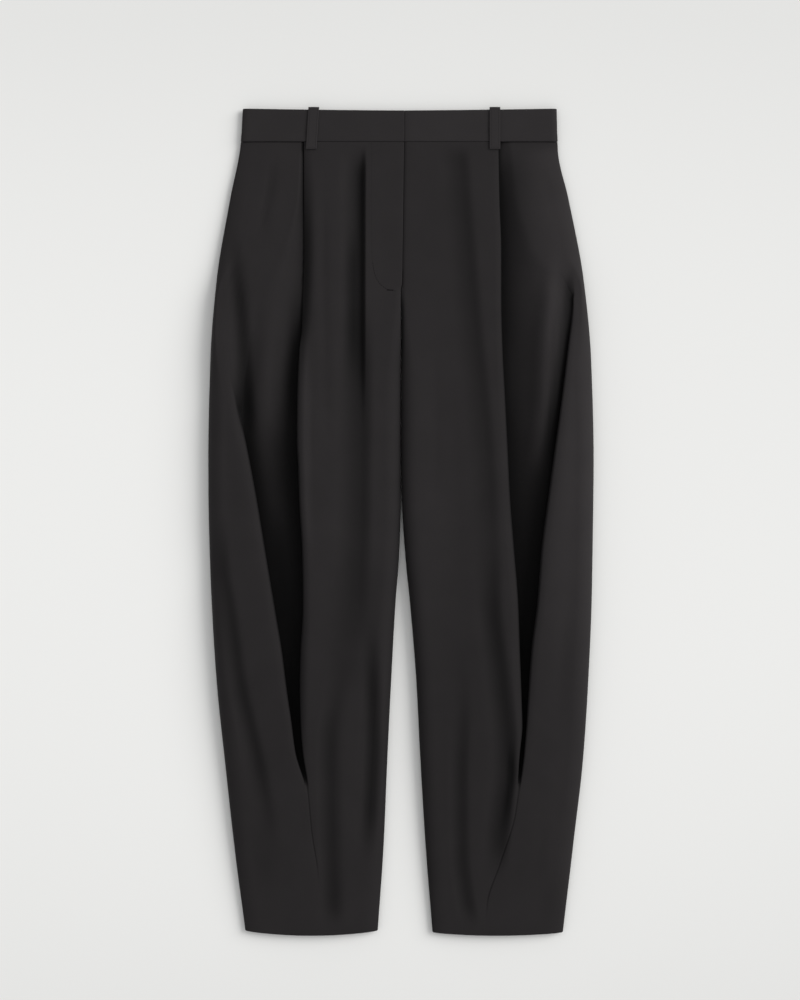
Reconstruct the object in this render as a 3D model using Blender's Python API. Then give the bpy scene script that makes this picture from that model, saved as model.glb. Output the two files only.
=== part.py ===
"""Barrel leg trousers laid flat, front up.

Each leg's front is one panel with two folds that face each other: a pleat under the belt loop, whose lip points
to the side, and a tuck that opens upwards from the calf, whose lip points to the middle. Between them the cloth
drops to a floor that narrows downwards. Right and left are the wearer's. Sizes are in millimetres: "down" is the
distance below the waist's top edge, "across" the distance from the centre line towards a leg's side, and the
surface that the trousers lie on is at height 0.
"""

import math

import bmesh
import bpy
import numpy as np

for old in list(bpy.data.objects):
    bpy.data.objects.remove(old, do_unlink=True)

METRE = 0.001

# The whole garment: its length, the walls of its cloth and the gap that each seam keeps
LENGTH = 1000.0
WALL = 1.2
SEAM_GAP = 0.3

# The waistband: a double wall, whose right side is BAND_TOP high on the front and whose top edge dips at the middle
BAND_DEPTH = 40.0
BAND_WALL = 2.4
BAND_TOP = 8.2
BAND_DIP = 2.2
BAND_ROUNDING = 9.0

# The belt loops: those at the front rise over the waist's top edge and turn in there, and those at the back lie
# under the waistband, which they raise, and end below that edge
LOOP_WIDTH = 13.0
LOOP_WALL = 1.3
LOOP_LENGTH = 51.0
LOOP_RISE = 1.8
LOOP_TURN = 1.6
BACK_LOOP_TOP = 2.6
BACK_RAISE = LOOP_WALL + SEAM_GAP

# The fly, whose lap's edge starts CLOSURE_EDGE past the centre line, and the crotch
CLOSURE_EDGE = 4.2
CLOSURE_DRIFT = 3.0
FLY_BLEND = 9.0
UNDERLAP = 8.0
UNDERLAP_END = 190.0
FLY_END = 222.0
CROTCH = 345.0

# The rounding at the edges of the panels, the share of a front's height that it reaches at the side, and how far a
# fold has to be from the rounding for that
SIDE_ROUNDING = 20.0
SHOULDER = 0.88
SHOULDER_REACH = 30.0
BACK_ROUNDING = 12.0
INNER_ROUNDING = 18.0

# Where the backs come down from the waistband's height to the surface
BACK_LEVEL_START = 69.0
BACK_LEVEL_END = 125.0

# How the hem bows down between its corners, and how far above the hem that starts
HEM_BOW = {"right": 5.5, "left": 3.5}
HEM_BOW_START = 900.0

ROWS = 28
MIDDLE = (LENGTH - LOOP_RISE) / 2
SIDE = {"right": -1.0, "left": 1.0}

# Each leg's outline seen from the front: the side seam and the inner edge, across.
OUTLINE_COLUMNS = ("down", "side", "inner")
OUTLINE = {
    "right": [
        (0, 191.5, 0.15),
        (41, 194, 0.15),
        (110, 207, 0.15),
        (207, 223, 0.15),
        (304, 230.5, 0.15),
        (425, 233, 0.15),
        (470, 232.8, 0.15),
        (546, 231, 2.6),
        (595, 229, 6.4),
        (692, 223, 11.8),
        (789, 213, 16.5),
        (885, 202.5, 20.6),
        (1000, 188.5, 28),
    ],
    "left": [
        (0, 188.5, 0.15),
        (50, 190, 0.15),
        (110, 203, 0.15),
        (207, 221, 0.15),
        (304, 230, 0.15),
        (425, 233, 0.15),
        (470, 232.6, 0.8),
        (546, 231.5, 5.6),
        (595, 230.6, 10.5),
        (692, 226.5, 18.4),
        (789, 220, 23.4),
        (885, 209, 29.2),
        (1000, 196, 38),
    ],
}

# Where the two lips lie, across. Below the row where they meet, the two columns hold the edges of the seam's
# groove, which runs on to the hem.
LIP_COLUMNS = ("down", "pleat", "tuck")
LIPS = {
    "right": [
        (41, 117.5, 150),
        (110, 117.3, 160),
        (170, 117, 182),
        (231, 118.5, 206),
        (270, 119.8, 207),
        (292, 121.5, 205.5),
        (352, 124, 198),
        (400, 124, 187.5),
        (430, 121.8, 181.5),
        (473, 120.3, 173.5),
        (534, 117, 163.5),
        (595, 116.5, 153.3),
        (625, 118, 148.3),
        (655, 120.5, 143.4),
        (700, 122, 137.8),
        (740, 121, 132),
        (776, 118.5, 127.3),
        (822, 109, 117),
        (873, 104, 112),
        (922, 97, 105),
        (1000, 93, 101),
    ],
    "left": [
        (41, 118, 150),
        (110, 119, 158),
        (170, 121, 178),
        (200, 121, 199),
        (215, 121, 206),
        (231, 121, 208.3),
        (292, 122.5, 203.5),
        (352, 124, 194.5),
        (413, 127, 185),
        (473, 131.5, 176.8),
        (534, 136.2, 169),
        (595, 141, 164.3),
        (655, 143.2, 157),
        (716, 145.5, 152.8),
        (745, 146.3, 151),
        (776, 143.5, 148.5),
        (849, 134, 142),
        (910, 116, 124),
        (958, 100, 108),
        (1000, 96, 104),
    ],
}

# How far the cloth goes back under each leg's pleat, the radii of its lip and of the fold below it, the height of the
# floor there, and how far the floor swells between the pleat and the tuck. Under 0 the fold has faded to a slope of
# that width. The wearer's right pleat lies flatter at the top.
PLEAT_COLUMNS = ("down", "under", "lip", "fold", "floor", "swell")
PLEATS = {
    "right": [
        (41, 22, 1.5, 0.35, 4.35, 0.2),
        (54, 22, 1.5, 0.4, 4.4, 0.3),
        (110, 20, 1.6, 0.5, 6.6, 0.8),
        (170, 18, 1.8, 0.7, 8.3, 1.2),
        (231, 18, 2.4, 1.0, 10.4, 1.6),
        (292, 18, 3.2, 1.1, 7.6, 5.0),
        (352, 18, 3.5, 1.2, 5.2, 7.0),
        (413, 17, 3.8, 1.4, 4.2, 3.8),
        (473, 16, 4.0, 1.5, 3.6, 1.4),
        (534, 15, 4.0, 1.5, 3.2, 0.3),
        (655, 15, 4.0, 1.4, 3.1, 0.0),
        (716, 11, 3.4, 1.2, 3.6, 0.0),
        (776, 5, 2.4, 0.8, 5.4, 0.0),
        (822, -1, 1.6, 0.4, 17.3, 0.0),
        (900, -1, 1.6, 0.4, 14.5, 0.0),
        (1000, -1, 1.6, 0.4, 9.2, 0.0),
    ],
    "left": [
        (41, 22, 1.5, 0.35, 4.35, 0.2),
        (54, 22, 1.5, 0.4, 4.4, 0.3),
        (110, 22, 1.8, 0.5, 5.2, 0.2),
        (170, 22, 2.2, 0.7, 6.0, 0.2),
        (200, 21.5, 2.5, 0.85, 6.3, 0.3),
        (215, 21.2, 2.6, 0.9, 6.4, 1.5),
        (231, 21, 2.8, 1.0, 6.4, 4.0),
        (260, 20, 3.0, 1.05, 6.2, 6.2),
        (292, 19, 3.2, 1.1, 5.8, 7.5),
        (352, 18, 3.5, 1.2, 5.0, 8.0),
        (413, 17, 3.8, 1.4, 4.2, 5.5),
        (473, 16, 4.0, 1.5, 3.6, 3.0),
        (534, 15, 4.0, 1.5, 3.2, 1.0),
        (655, 15, 4.0, 1.4, 3.1, 0.0),
        (716, 11, 3.4, 1.2, 3.6, 0.0),
        (776, 5, 2.4, 0.8, 5.4, 0.0),
        (822, -1, 1.6, 0.4, 17.3, 0.0),
        (900, -1, 1.6, 0.4, 14.5, 0.0),
        (1000, -1, 1.6, 0.4, 9.2, 0.0),
    ],
}

# The same for the tucks, without a swell. The wearer's left tuck opens further up and more sharply.
TUCK_COLUMNS = ("down", "under", "lip", "fold", "floor")
TUCKS = {
    "right": [
        (41, -20, 8, 8, 6.7),
        (110, -24, 8, 8, 10.0),
        (170, -26, 8, 8, 12.7),
        (231, -24, 8, 8, 15.4),
        (292, -16, 8, 7, 14.0),
        (352, -5, 5, 3, 9.4),
        (413, 6, 3.8, 1.6, 6.0),
        (473, 13, 4.0, 1.5, 4.0),
        (534, 15, 4.0, 1.4, 3.2),
        (655, 15, 4.0, 1.4, 3.1),
        (716, 11, 3.4, 1.2, 3.6),
        (776, 5, 2.4, 0.8, 5.4),
        (822, -1, 1.6, 0.4, 17.3),
        (900, -1, 1.6, 0.4, 14.5),
        (1000, -1, 1.6, 0.4, 9.2),
    ],
    "left": [
        (41, -20, 8, 8, 6.7),
        (110, -20, 8, 8, 10.1),
        (170, -16, 8, 8, 12.8),
        (200, -8, 5, 5, 14.0),
        (215, -3, 3, 2.6, 13.5),
        (231, 1, 2.6, 1.4, 12.6),
        (292, 6, 3.0, 1.3, 10.8),
        (352, 9, 3.4, 1.4, 8.8),
        (413, 12, 3.8, 1.4, 6.0),
        (473, 15, 4.0, 1.5, 4.0),
        (534, 15, 4.0, 1.4, 3.2),
        (655, 15, 4.0, 1.4, 3.1),
        (716, 11, 3.4, 1.2, 3.6),
        (776, 5, 2.4, 0.8, 5.4),
        (822, -1, 1.6, 0.4, 17.3),
        (900, -1, 1.6, 0.4, 14.5),
        (1000, -1, 1.6, 0.4, 9.2),
    ],
}

# Heights of the right side of the cloth: the side seam, the panel beside the tuck, the panel beside the pleat, and
# the panel at the centre line.
HEIGHT_COLUMNS = ("down", "seam", "outer", "inner", "centre")
HEIGHTS = [
    (41, 4.4, 6.8, 8.0, 7.9),
    (54, 4.4, 7.2, 8.15, 8.0),
    (110, 4.4, 10.2, 12.4, 9.6),
    (170, 4.8, 13.0, 15.4, 11.6),
    (231, 5.4, 16.4, 18.0, 13.6),
    (292, 6.0, 19.8, 20.6, 15.4),
    (352, 6.5, 22.4, 22.6, 17.0),
    (413, 6.8, 24.2, 24.2, 18.4),
    (473, 7.0, 25.0, 25.0, 19.2),
    (534, 7.0, 25.0, 25.0, 19.2),
    (655, 6.8, 24.0, 24.0, 18.0),
    (716, 6.6, 22.6, 22.6, 17.4),
    (776, 6.4, 20.6, 20.6, 16.6),
    (822, 6.0, 18.5, 18.5, 15.6),
    (900, 5.2, 15.5, 15.5, 13.4),
    (1000, 4.0, 10.0, 10.0, 9.2),
]

# The least that the cloth drops at a tuck that has faded to a slope
LEAST_DROP = 0.5

# Where the swell is highest, as a share of the way from the pleat to the tuck
SWELL_PLACE = {"right": 0.6, "left": 0.74}

# Large soft troughs in the fronts, each along a straight line: its ends, its width to the middle and to the
# side of that line, its depth, and how much of its length it takes to fade in and out.
TROUGH_COLUMNS = (
    "leg", "down_0", "across_0", "down_1", "across_1", "to_middle", "to_side", "depth", "fade_in", "fade_out"
)
TROUGHS = [
    ("right", 41, 48, 640, 56, 6.5, 24, 5.5, 0.08, 0.45),
    ("left", 41, 76, 700, 116, 16, 20, 2.0, 0.1, 0.3),
    ("right", 500, 218, 860, 158, 9, 17, 3.0, 0.3, 0.3),
]


def column(table, names, name, down):
    """The table's column at a distance below the waist, by a monotone cubic through its rows."""
    place = names.index(name)
    xs = [float(row[0]) for row in table]
    ys = [float(row[place]) for row in table]
    down = min(max(down, xs[0]), xs[-1])
    steps = [(ys[i + 1] - ys[i]) / (xs[i + 1] - xs[i]) for i in range(len(xs) - 1)]
    slopes = [steps[0]]
    for before, after in zip(steps, steps[1:]):
        slopes.append(2 * before * after / (before + after) if before * after > 0 else 0.0)
    slopes.append(steps[-1])
    i = min(max(sum(x <= down for x in xs) - 1, 0), len(xs) - 2)
    width = xs[i + 1] - xs[i]
    t = (down - xs[i]) / width
    start = (1 + 2 * t) * (1 - t) ** 2 * ys[i] + t * (1 - t) ** 2 * width * slopes[i]
    end = t * t * (3 - 2 * t) * ys[i + 1] + t * t * (t - 1) * width * slopes[i + 1]
    return start + end


def ramp(value, low, high):
    """0 below low, 1 above high and a soft S between."""
    t = min(max((value - low) / (high - low), 0.0), 1.0)
    return t * t * (3 - 2 * t)


def outline(leg, name, down):
    return column(OUTLINE[leg], OUTLINE_COLUMNS, name, down)


def lip(leg, name, down):
    return column(LIPS[leg], LIP_COLUMNS, name, down)


def fold(leg, of, name, down):
    """A measure of the leg's pleat or tuck."""
    if of == "pleat":
        return column(PLEATS[leg], PLEAT_COLUMNS, name, down)
    return column(TUCKS[leg], TUCK_COLUMNS, name, down)


def height(name, down):
    return column(HEIGHTS, HEIGHT_COLUMNS, name, down)


def closure_edge(down):
    """Where the fly's edge lies past the centre line, on the wearer's left."""
    return CLOSURE_EDGE - CLOSURE_DRIFT * down / FLY_END


def trough_depth(leg, down, across):
    """How far the soft troughs lower the cloth at a place."""
    total = 0.0
    for row in TROUGHS:
        crease = dict(zip(TROUGH_COLUMNS, row))
        along = (down - crease["down_0"]) / (crease["down_1"] - crease["down_0"])
        if crease["leg"] != leg or not 0.0 <= along <= 1.0:
            continue
        middle = crease["across_0"] + along * (crease["across_1"] - crease["across_0"])
        away = across - middle
        reach = crease["to_side"] if away > 0 else crease["to_middle"]
        if abs(away) < reach:
            fade = ramp(along, 0, crease["fade_in"]) * ramp(1 - along, 0, crease["fade_out"])
            total += crease["depth"] * fade * (0.5 + 0.5 * math.cos(math.pi * away / reach))
    return total


def turned_back(leg, of, down, high, low, lip_steps=3, fold_steps=2):
    """Points over a fold's lip at across 0 and back under it: an arc, a straight return and an arc to the floor.

    They start towards the middle along the top at the height high, and end so at the height low.
    """
    under = fold(leg, of, "under", down)
    lip_radius = fold(leg, of, "lip", down)
    fold_radius = fold(leg, of, "fold", down)
    lip_centre = np.array([lip_radius, high - lip_radius])
    fold_centre = np.array([under - fold_radius, low + fold_radius])
    between = fold_centre - lip_centre
    distance = max(float(np.hypot(*between)), lip_radius + fold_radius)
    heading = math.atan2(between[1], between[0]) % (2 * math.pi)
    turned = heading + math.asin((lip_radius + fold_radius) / distance)
    points = []
    for step in range(lip_steps + 1):
        angle = math.pi + (turned - math.pi) * step / lip_steps
        points.append(lip_centre - lip_radius * np.array([-math.sin(angle), math.cos(angle)]))
    for step in range(fold_steps + 1):
        angle = turned + (math.pi - turned) * step / fold_steps
        points.append(fold_centre + fold_radius * np.array([-math.sin(angle), math.cos(angle)]))
    return [(float(p[0]), float(p[1])) for p in points]


def side_edge(side, seam, top, rounding, steps=4):
    """Points up a side from its seam and over onto the panel."""
    points = []
    for step in range(steps + 1):
        angle = math.pi / 2 * step / steps
        points.append((side - rounding * (1 - math.cos(angle)), seam + (top - seam) * math.sin(angle)))
    return points


def lap_edge(down):
    """Points to the fly's edge on the wearer's right, which lies on top."""
    edge = closure_edge(down)
    top = height("centre", down)
    return [(FLY_BLEND * (1 - t) - edge, top - 0.2 * t ** 4) for t in (0, 0.3, 0.6, 0.85, 1)]


def underlap_edge(down):
    """Points down a step and in under the fly's edge on the wearer's left."""
    edge = closure_edge(down)
    top = height("centre", down)
    under = top - WALL - 1.3 * SEAM_GAP
    start = edge + 1.5 * SEAM_GAP
    end = -UNDERLAP if down <= UNDERLAP_END else edge + SEAM_GAP
    return [(edge + FLY_BLEND, top), (edge + FLY_BLEND / 2, top - 0.2)] + [
        (start + (end - start) * t, under) for t in (0, 0.5, 1)
    ]


def inner_edge(leg, down, steps=4):
    """Points from the panel to its inner edge: the fly above, the groove between the legs, then the inseam."""
    if down <= FLY_END:
        return lap_edge(down) if leg == "right" else underlap_edge(down)
    top = height("centre", down)
    inner = outline(leg, "inner", down)
    joined = ramp(down, FLY_END, CROTCH)
    low = top + joined * (height("seam", down) + SEAM_GAP / 2 - top) - 1.5 * (1 - joined)
    turn = math.radians(20 + 70 * joined)
    rounding = INNER_ROUNDING * (0.4 + 0.6 * joined)
    points = []
    for step in range(steps + 1):
        angle = turn * step / steps
        across = inner + rounding * (1 - math.sin(angle) / math.sin(turn))
        points.append((across, top + (low - top) * (1 - math.cos(angle)) / (1 - math.cos(turn))))
    return points


def front_section(leg, down, outer_steps=2, floor_steps=5, inner_steps=8):
    """The right side of a front at one level, from the side seam to the inner edge."""
    side = outline(leg, "side", down)
    seam = height("seam", down) + SEAM_GAP / 2
    outer = height("outer", down)
    inner = height("inner", down)
    pleat = lip(leg, "pleat", down)
    tuck = lip(leg, "tuck", down)

    tuck_floor = min(fold(leg, "tuck", "floor", down), outer - LEAST_DROP)
    over_tuck = turned_back(leg, "tuck", down, outer, tuck_floor)
    over_tuck = [(tuck + across, level) for across, level in over_tuck]
    over_pleat = turned_back(leg, "pleat", down, inner, fold(leg, "pleat", "floor", down))
    over_pleat = [(pleat - across, level) for across, level in reversed(over_pleat)]

    end = over_tuck[0][0]
    rounding = min(SIDE_ROUNDING, side - end - 3)
    share = 1 - (1 - SHOULDER) * ramp(side - end - rounding, 3, SHOULDER_REACH)
    shoulder = seam + share * (outer - seam)
    points = side_edge(side, seam, shoulder, rounding)
    start = points[-1][0]
    for step in range(1, outer_steps + 1):
        t = step / (outer_steps + 1)
        points.append((start + t * (end - start), shoulder + ramp(t, 0, 1) * (outer - shoulder)))
    points += over_tuck

    (start, high), (end, low) = points[-1], over_pleat[0]
    bend = math.log(0.5) / math.log(SWELL_PLACE[leg])
    for step in range(1, floor_steps):
        across = start + (end - start) * step / floor_steps
        open_share = min(max((across - pleat) / (start - pleat), 0.0), 1.0)
        swell = fold(leg, "pleat", "swell", down) * math.sin(math.pi * open_share ** bend) ** 2
        points.append((across, low + (high - low) * ramp(open_share, 0, 1) + swell))
    points += over_pleat

    edge = inner_edge(leg, down)
    start, end = points[-1][0], edge[0][0]
    for step in range(1, inner_steps):
        t = step / inner_steps
        points.append((start + t * (end - start), inner + ramp(t, 0, 1) * (edge[0][1] - inner)))
    points += edge
    return [(across, level - trough_depth(leg, down, across)) for across, level in points]


def back_section(leg, down, steps=3, edge_steps=3):
    """The right side of a back, which faces down, at one level, from the side seam to the inner edge."""
    side = outline(leg, "side", down)
    seam = height("seam", down) - SEAM_GAP / 2
    level = BACK_RAISE * (1 - ramp(down, BACK_LEVEL_START, BACK_LEVEL_END))
    inner = outline(leg, "inner", down)
    joined = ramp(down, FLY_END + 50, CROTCH)
    end = level + joined * (seam - level)
    points = []
    for step in range(edge_steps + 1):
        angle = math.pi / 2 * step / edge_steps
        across = side - BACK_ROUNDING * (1 - math.cos(angle))
        points.append((across, seam + (level - seam) * math.sin(angle)))
    first = side - BACK_ROUNDING
    last = inner + BACK_ROUNDING
    for step in range(1, steps):
        points.append((first + (last - first) * step / steps, level))
    turn = math.radians(10 + 80 * joined)
    for step in range(edge_steps + 1):
        angle = turn * step / edge_steps
        across = inner + BACK_ROUNDING * (1 - math.sin(angle) / math.sin(turn))
        points.append((across, level + (end - level) * (1 - math.cos(angle)) / (1 - math.cos(turn))))
    return points


def moved_in(path, distance):
    """The path moved to its left by a distance, with mitred corners."""
    points = np.array(path, float)
    runs = np.diff(points, axis=0)
    runs /= np.linalg.norm(runs, axis=1)[:, None]
    lefts = np.stack([-runs[:, 1], runs[:, 0]], axis=1)
    before = np.vstack([lefts[:1], lefts])
    after = np.vstack([lefts, lefts[-1:]])
    mitres = before + after
    mitres /= np.maximum((mitres * before).sum(axis=1), 0.5)[:, None]
    return points + distance * mitres


def cut_level(inside, nearest, seam, reach):
    """Cuts the ends of a wall's inside level with the seam, so that the pieces meet face to face."""
    for place in (*range(reach), *range(-reach, 0)):
        inside[place][1] = nearest(inside[place][1], seam)
    return inside


def hem_shift(leg, down, across):
    """How far a place near the hem lies above the hem's lowest level."""
    side = outline(leg, "side", down)
    inner = outline(leg, "inner", down)
    off_middle = (across - (side + inner) / 2) / ((side - inner) / 2)
    return HEM_BOW[leg] * ramp(down, HEM_BOW_START, LENGTH) * min(off_middle * off_middle, 1.0)


def placed(leg, down, across, level):
    """A place on the garment in metres."""
    return (SIDE[leg] * across * METRE, (MIDDLE - down) * METRE, level * METRE)


def cloth_material(name, colour, roughness):
    """A dull worsted cloth in the garment's near-black."""
    material = bpy.data.materials.new(name)
    material.use_nodes = True
    shader = material.node_tree.nodes["Principled BSDF"]
    shader.inputs["Base Color"].default_value = (*colour, 1.0)
    shader.inputs["Roughness"].default_value = roughness
    shader.inputs["Metallic"].default_value = 0.0
    return material


def walled(name, right_rows, inner_rows, material):
    """A closed wall between two grids of points, which have the same number of rows and columns."""
    mesh = bpy.data.meshes.new(name)
    built = bmesh.new()
    right = [[built.verts.new(p) for p in row] for row in right_rows]
    inner = [[built.verts.new(p) for p in row] for row in inner_rows]
    last = len(right) - 1
    end = len(right[0]) - 1
    for i in range(last):
        for j in range(end):
            built.faces.new((right[i][j], right[i][j + 1], right[i + 1][j + 1], right[i + 1][j]))
            built.faces.new((inner[i][j], inner[i + 1][j], inner[i + 1][j + 1], inner[i][j + 1]))
        for j in (0, end):
            built.faces.new((right[i][j], right[i + 1][j], inner[i + 1][j], inner[i][j]))
    for i in (0, last):
        for j in range(end):
            built.faces.new((right[i][j], right[i][j + 1], inner[i][j + 1], inner[i][j]))
    bmesh.ops.recalc_face_normals(built, faces=built.faces)
    built.to_mesh(mesh)
    built.free()
    mesh.materials.append(material)
    mesh.shade_smooth()
    mesh.set_sharp_from_angle(angle=math.radians(50))
    piece = bpy.data.objects.new(name, mesh)
    bpy.context.scene.collection.objects.link(piece)
    return piece


def panel(name, leg, section, side_of_path, material):
    """A leg's panel: its wall lofted through the sections from the waist seam to the hem."""
    nearest = max if side_of_path > 0 else min
    right_rows, inner_rows = [], []
    start = BAND_DEPTH + SEAM_GAP
    for row in range(ROWS + 1):
        down = start + (LENGTH - start) * row / ROWS
        path = section(leg, down)
        seam = height("seam", down) + side_of_path * SEAM_GAP / 2
        inside = cut_level(moved_in(path, side_of_path * WALL), nearest, seam, 2)
        shifts = [hem_shift(leg, down, across) for across, level in path]
        right_rows.append([placed(leg, down - s, *p) for p, s in zip(path, shifts)])
        inner_rows.append([placed(leg, down - s, *p) for p, s in zip(inside, shifts)])
    return walled(name, right_rows, inner_rows, material)


def band_dip(across):
    """How far the waist's top edge lies below its ends."""
    return BAND_DIP * (1 - min(abs(across) / OUTLINE["right"][0][1], 1.0) ** 1.5)


def band_wall(leg, path_at, side_of_path):
    """The two grids of a piece of the waistband, whose top edge is rounded by pinching its first rows."""
    right_rows, inner_rows = [], []
    nearest = max if side_of_path > 0 else min
    seam = (BAND_TOP + BACK_RAISE + side_of_path * SEAM_GAP) / 2
    for down, pinch in ((0.0, 0.55), (0.8, 0.12), (2.2, 0.0), (BAND_DEPTH / 2, 0.0), (BAND_DEPTH, 0.0)):
        path = path_at(outline(leg, "side", down))
        dips = [band_dip(across) * (1 - down / BAND_DEPTH) for across, level in path]
        right = cut_level(moved_in(path, side_of_path * pinch), nearest, seam, 1)
        inner = cut_level(moved_in(path, side_of_path * (BAND_WALL - pinch)), nearest, seam, 4)
        right_rows.append([placed(leg, down + dip, *p) for p, dip in zip(right, dips)])
        inner_rows.append([placed(leg, down + dip, *p) for p, dip in zip(inner, dips)])
    return right_rows, inner_rows


def band_front(name, leg, end, material, stops=6):
    """One half of the waistband's front, from the side to its end at the fly."""

    def path_at(side):
        seam = (BAND_TOP + BACK_RAISE + SEAM_GAP) / 2
        start = side - BAND_ROUNDING
        along = [(start + (end - start) * i / stops, BAND_TOP) for i in range(1, stops + 1)]
        return side_edge(side, seam, BAND_TOP, BAND_ROUNDING) + along

    return walled(name, *band_wall(leg, path_at, 1), material)


def band_back(name, material, stops=4):
    """The waistband's back, in one piece from side to side."""

    def path_at(side):
        seam = (BAND_TOP + BACK_RAISE - SEAM_GAP) / 2
        start = side - BAND_ROUNDING
        along = [(start * (1 - i / stops), BACK_RAISE) for i in range(1, stops + 1)]
        return side_edge(side, seam, BACK_RAISE, BAND_ROUNDING) + along

    from_right = band_wall("right", path_at, -1)
    from_left = band_wall("left", path_at, -1)
    grids = [[a + b[-2::-1] for a, b in zip(*halves)] for halves in zip(from_right, from_left)]
    return walled(name, *grids, material)


def belt_loop(name, leg, top_across, foot_across, outward, material):
    """A flat strap outward from the waistband, which ends below its seam. A front one turns over the top edge."""
    face = BAND_TOP if outward > 0 else BACK_RAISE
    far = face + outward * (SEAM_GAP + LOOP_WALL)
    foot = LOOP_LENGTH - LOOP_RISE
    path = [(foot, far), (foot / 2, far), (BACK_LOOP_TOP, far)]
    if outward > 0:
        path[-1] = (LOOP_TURN, far)
        path += [(-0.3 * LOOP_RISE, far - 0.2 * LOOP_TURN), (-LOOP_RISE, far - LOOP_TURN)]
        path += [(-LOOP_RISE, face - LOOP_TURN)]
    rows = []
    for side in (path, moved_in(path, outward * LOOP_WALL)):
        grid = []
        for down, level in side:
            middle = top_across + (foot_across - top_across) * down / foot
            edges = (middle - LOOP_WIDTH / 2, middle + LOOP_WIDTH / 2)
            grid.append([placed(leg, down, across, level) for across in edges])
        rows.append(grid)
    return walled(name, *rows, material)


CHARCOAL = (0.0215, 0.0197, 0.0202)
front_cloth = cloth_material("front_cloth", CHARCOAL, 0.85)
back_cloth = cloth_material("back_cloth", CHARCOAL, 0.85)
band_cloth = cloth_material("waistband_cloth", CHARCOAL, 0.82)
loop_cloth = cloth_material("belt_loop_cloth", CHARCOAL, 0.82)

for leg in SIDE:
    panel(f"front_{leg}", leg, front_section, 1, front_cloth)
    panel(f"back_{leg}", leg, back_section, -1, back_cloth)

band_front("waistband_front_right", "right", -CLOSURE_EDGE, band_cloth)
band_front("waistband_front_left", "left", CLOSURE_EDGE + SEAM_GAP, band_cloth)
band_back("waistband_back", band_cloth)

# Each belt loop's place across at the waist's top edge and at its foot
FRONT_LOOPS = {"right": (105.5, 108.5), "left": (113.5, 113.5)}
BACK_LOOP = 96.0
for leg, (top_across, foot_across) in FRONT_LOOPS.items():
    belt_loop(f"belt_loop_front_{leg}", leg, top_across, foot_across, 1, loop_cloth)
    belt_loop(f"belt_loop_back_{leg}", leg, BACK_LOOP, BACK_LOOP, -1, loop_cloth)
belt_loop("belt_loop_back_centre", "left", 0.0, 0.0, -1, loop_cloth)
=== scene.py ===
"""The looks of a pair of barrel leg trousers that lie flat, front up, on a pale floor.

Every piece of cloth is a thin shell on the form of its solid, lofted through the same sections at a finer pitch,
with lips that roll over, soft creases placed one by one, seams as fine grooves and a woven material. Right and
left are the wearer's. Sizes are in millimetres: "down" is the distance below the waist's top edge, "across" the
distance from the centre line towards a leg's side, and the floor is at height 0.
"""

import math

import bmesh
import bpy
import numpy as np
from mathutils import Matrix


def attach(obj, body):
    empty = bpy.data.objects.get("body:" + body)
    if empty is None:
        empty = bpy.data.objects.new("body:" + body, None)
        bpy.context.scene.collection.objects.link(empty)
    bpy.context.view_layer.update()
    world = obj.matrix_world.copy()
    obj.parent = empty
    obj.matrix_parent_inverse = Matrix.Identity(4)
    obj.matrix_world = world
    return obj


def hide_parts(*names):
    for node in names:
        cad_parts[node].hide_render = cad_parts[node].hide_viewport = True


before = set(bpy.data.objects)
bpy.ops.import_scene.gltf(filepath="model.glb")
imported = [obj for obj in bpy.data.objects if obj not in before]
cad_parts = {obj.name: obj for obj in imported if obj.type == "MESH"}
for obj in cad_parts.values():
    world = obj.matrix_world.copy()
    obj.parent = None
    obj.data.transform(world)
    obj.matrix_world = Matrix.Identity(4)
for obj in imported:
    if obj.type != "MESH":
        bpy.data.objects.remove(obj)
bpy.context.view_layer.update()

METRE = 0.001

# The whole garment, the thickness of its cloth and the gap at its seams
LENGTH = 1000.0
CLOTH = 0.7
SEAM_GAP = 0.3

# The waistband
BAND_DEPTH = 40.0
BAND_WALL = 2.4
BAND_TOP = 8.2
BAND_DIP = 2.2
BAND_ROUNDING = 9.0

# The belt loops
LOOP_WIDTH = 13.0
LOOP_WALL = 1.3
LOOP_LENGTH = 51.0
LOOP_RISE = 1.8
LOOP_TURN = 1.6
BACK_LOOP_TOP = 2.6
BACK_RAISE = LOOP_WALL + SEAM_GAP

# The fly: its edge past the centre line, how far that drifts towards its foot, and how the lap blends and drops there;
# the underlap's reach, its end, the step down to it as (across, drop), and how deep it lies
CLOSURE_EDGE = 4.2
CLOSURE_DRIFT = 3.0
FLY_BLEND = 9.0
LAP_DROP = 0.2
UNDERLAP = 8.0
UNDERLAP_END = 190.0
UNDERLAP_EASE = 8.0
UNDERLAP_STEP = ((FLY_BLEND, 0.0), (FLY_BLEND / 2, 0.2), (2.0, 0.45))
UNDERLAP_DROP = 0.89
UNDERLAP_STEPS = 7
FLY_END = 222.0
FLY_EASE = 12.0

# The crotch: where the inseams start, how far the cloth dips above that, the share of its rounding there, where the
# backs begin to rise to the inseams, and through which angles, in degrees, the inner edges turn there and further down
CROTCH = 345.0
CROTCH_DIP = 1.5
CROTCH_ROUNDING = 0.4
BACK_JOIN = 272.0
FRONT_TURN = (20.0, 90.0)
BACK_TURN = (10.0, 90.0)

# The rounding at the edges of the panels: at the side, how its steps crowd at the seam and how far from the tuck it
# keeps; the shoulder there; and at the back and at the inner edges
SIDE_ROUNDING = 20.0
SIDE_CROWDING = 1.15
OUTER_LEAST = 3.0
SHOULDER = 0.88
SHOULDER_REACH = 30.0
BACK_ROUNDING = 12.0
INNER_ROUNDING = 18.0
BACK_LEVEL_START = 69.0
BACK_LEVEL_END = 125.0

HEM_BOW = {"right": 5.5, "left": 3.5}
HEM_BOW_START = 900.0

MIDDLE = (LENGTH - LOOP_RISE) / 2
SIDE = {"right": -1.0, "left": 1.0}

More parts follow.
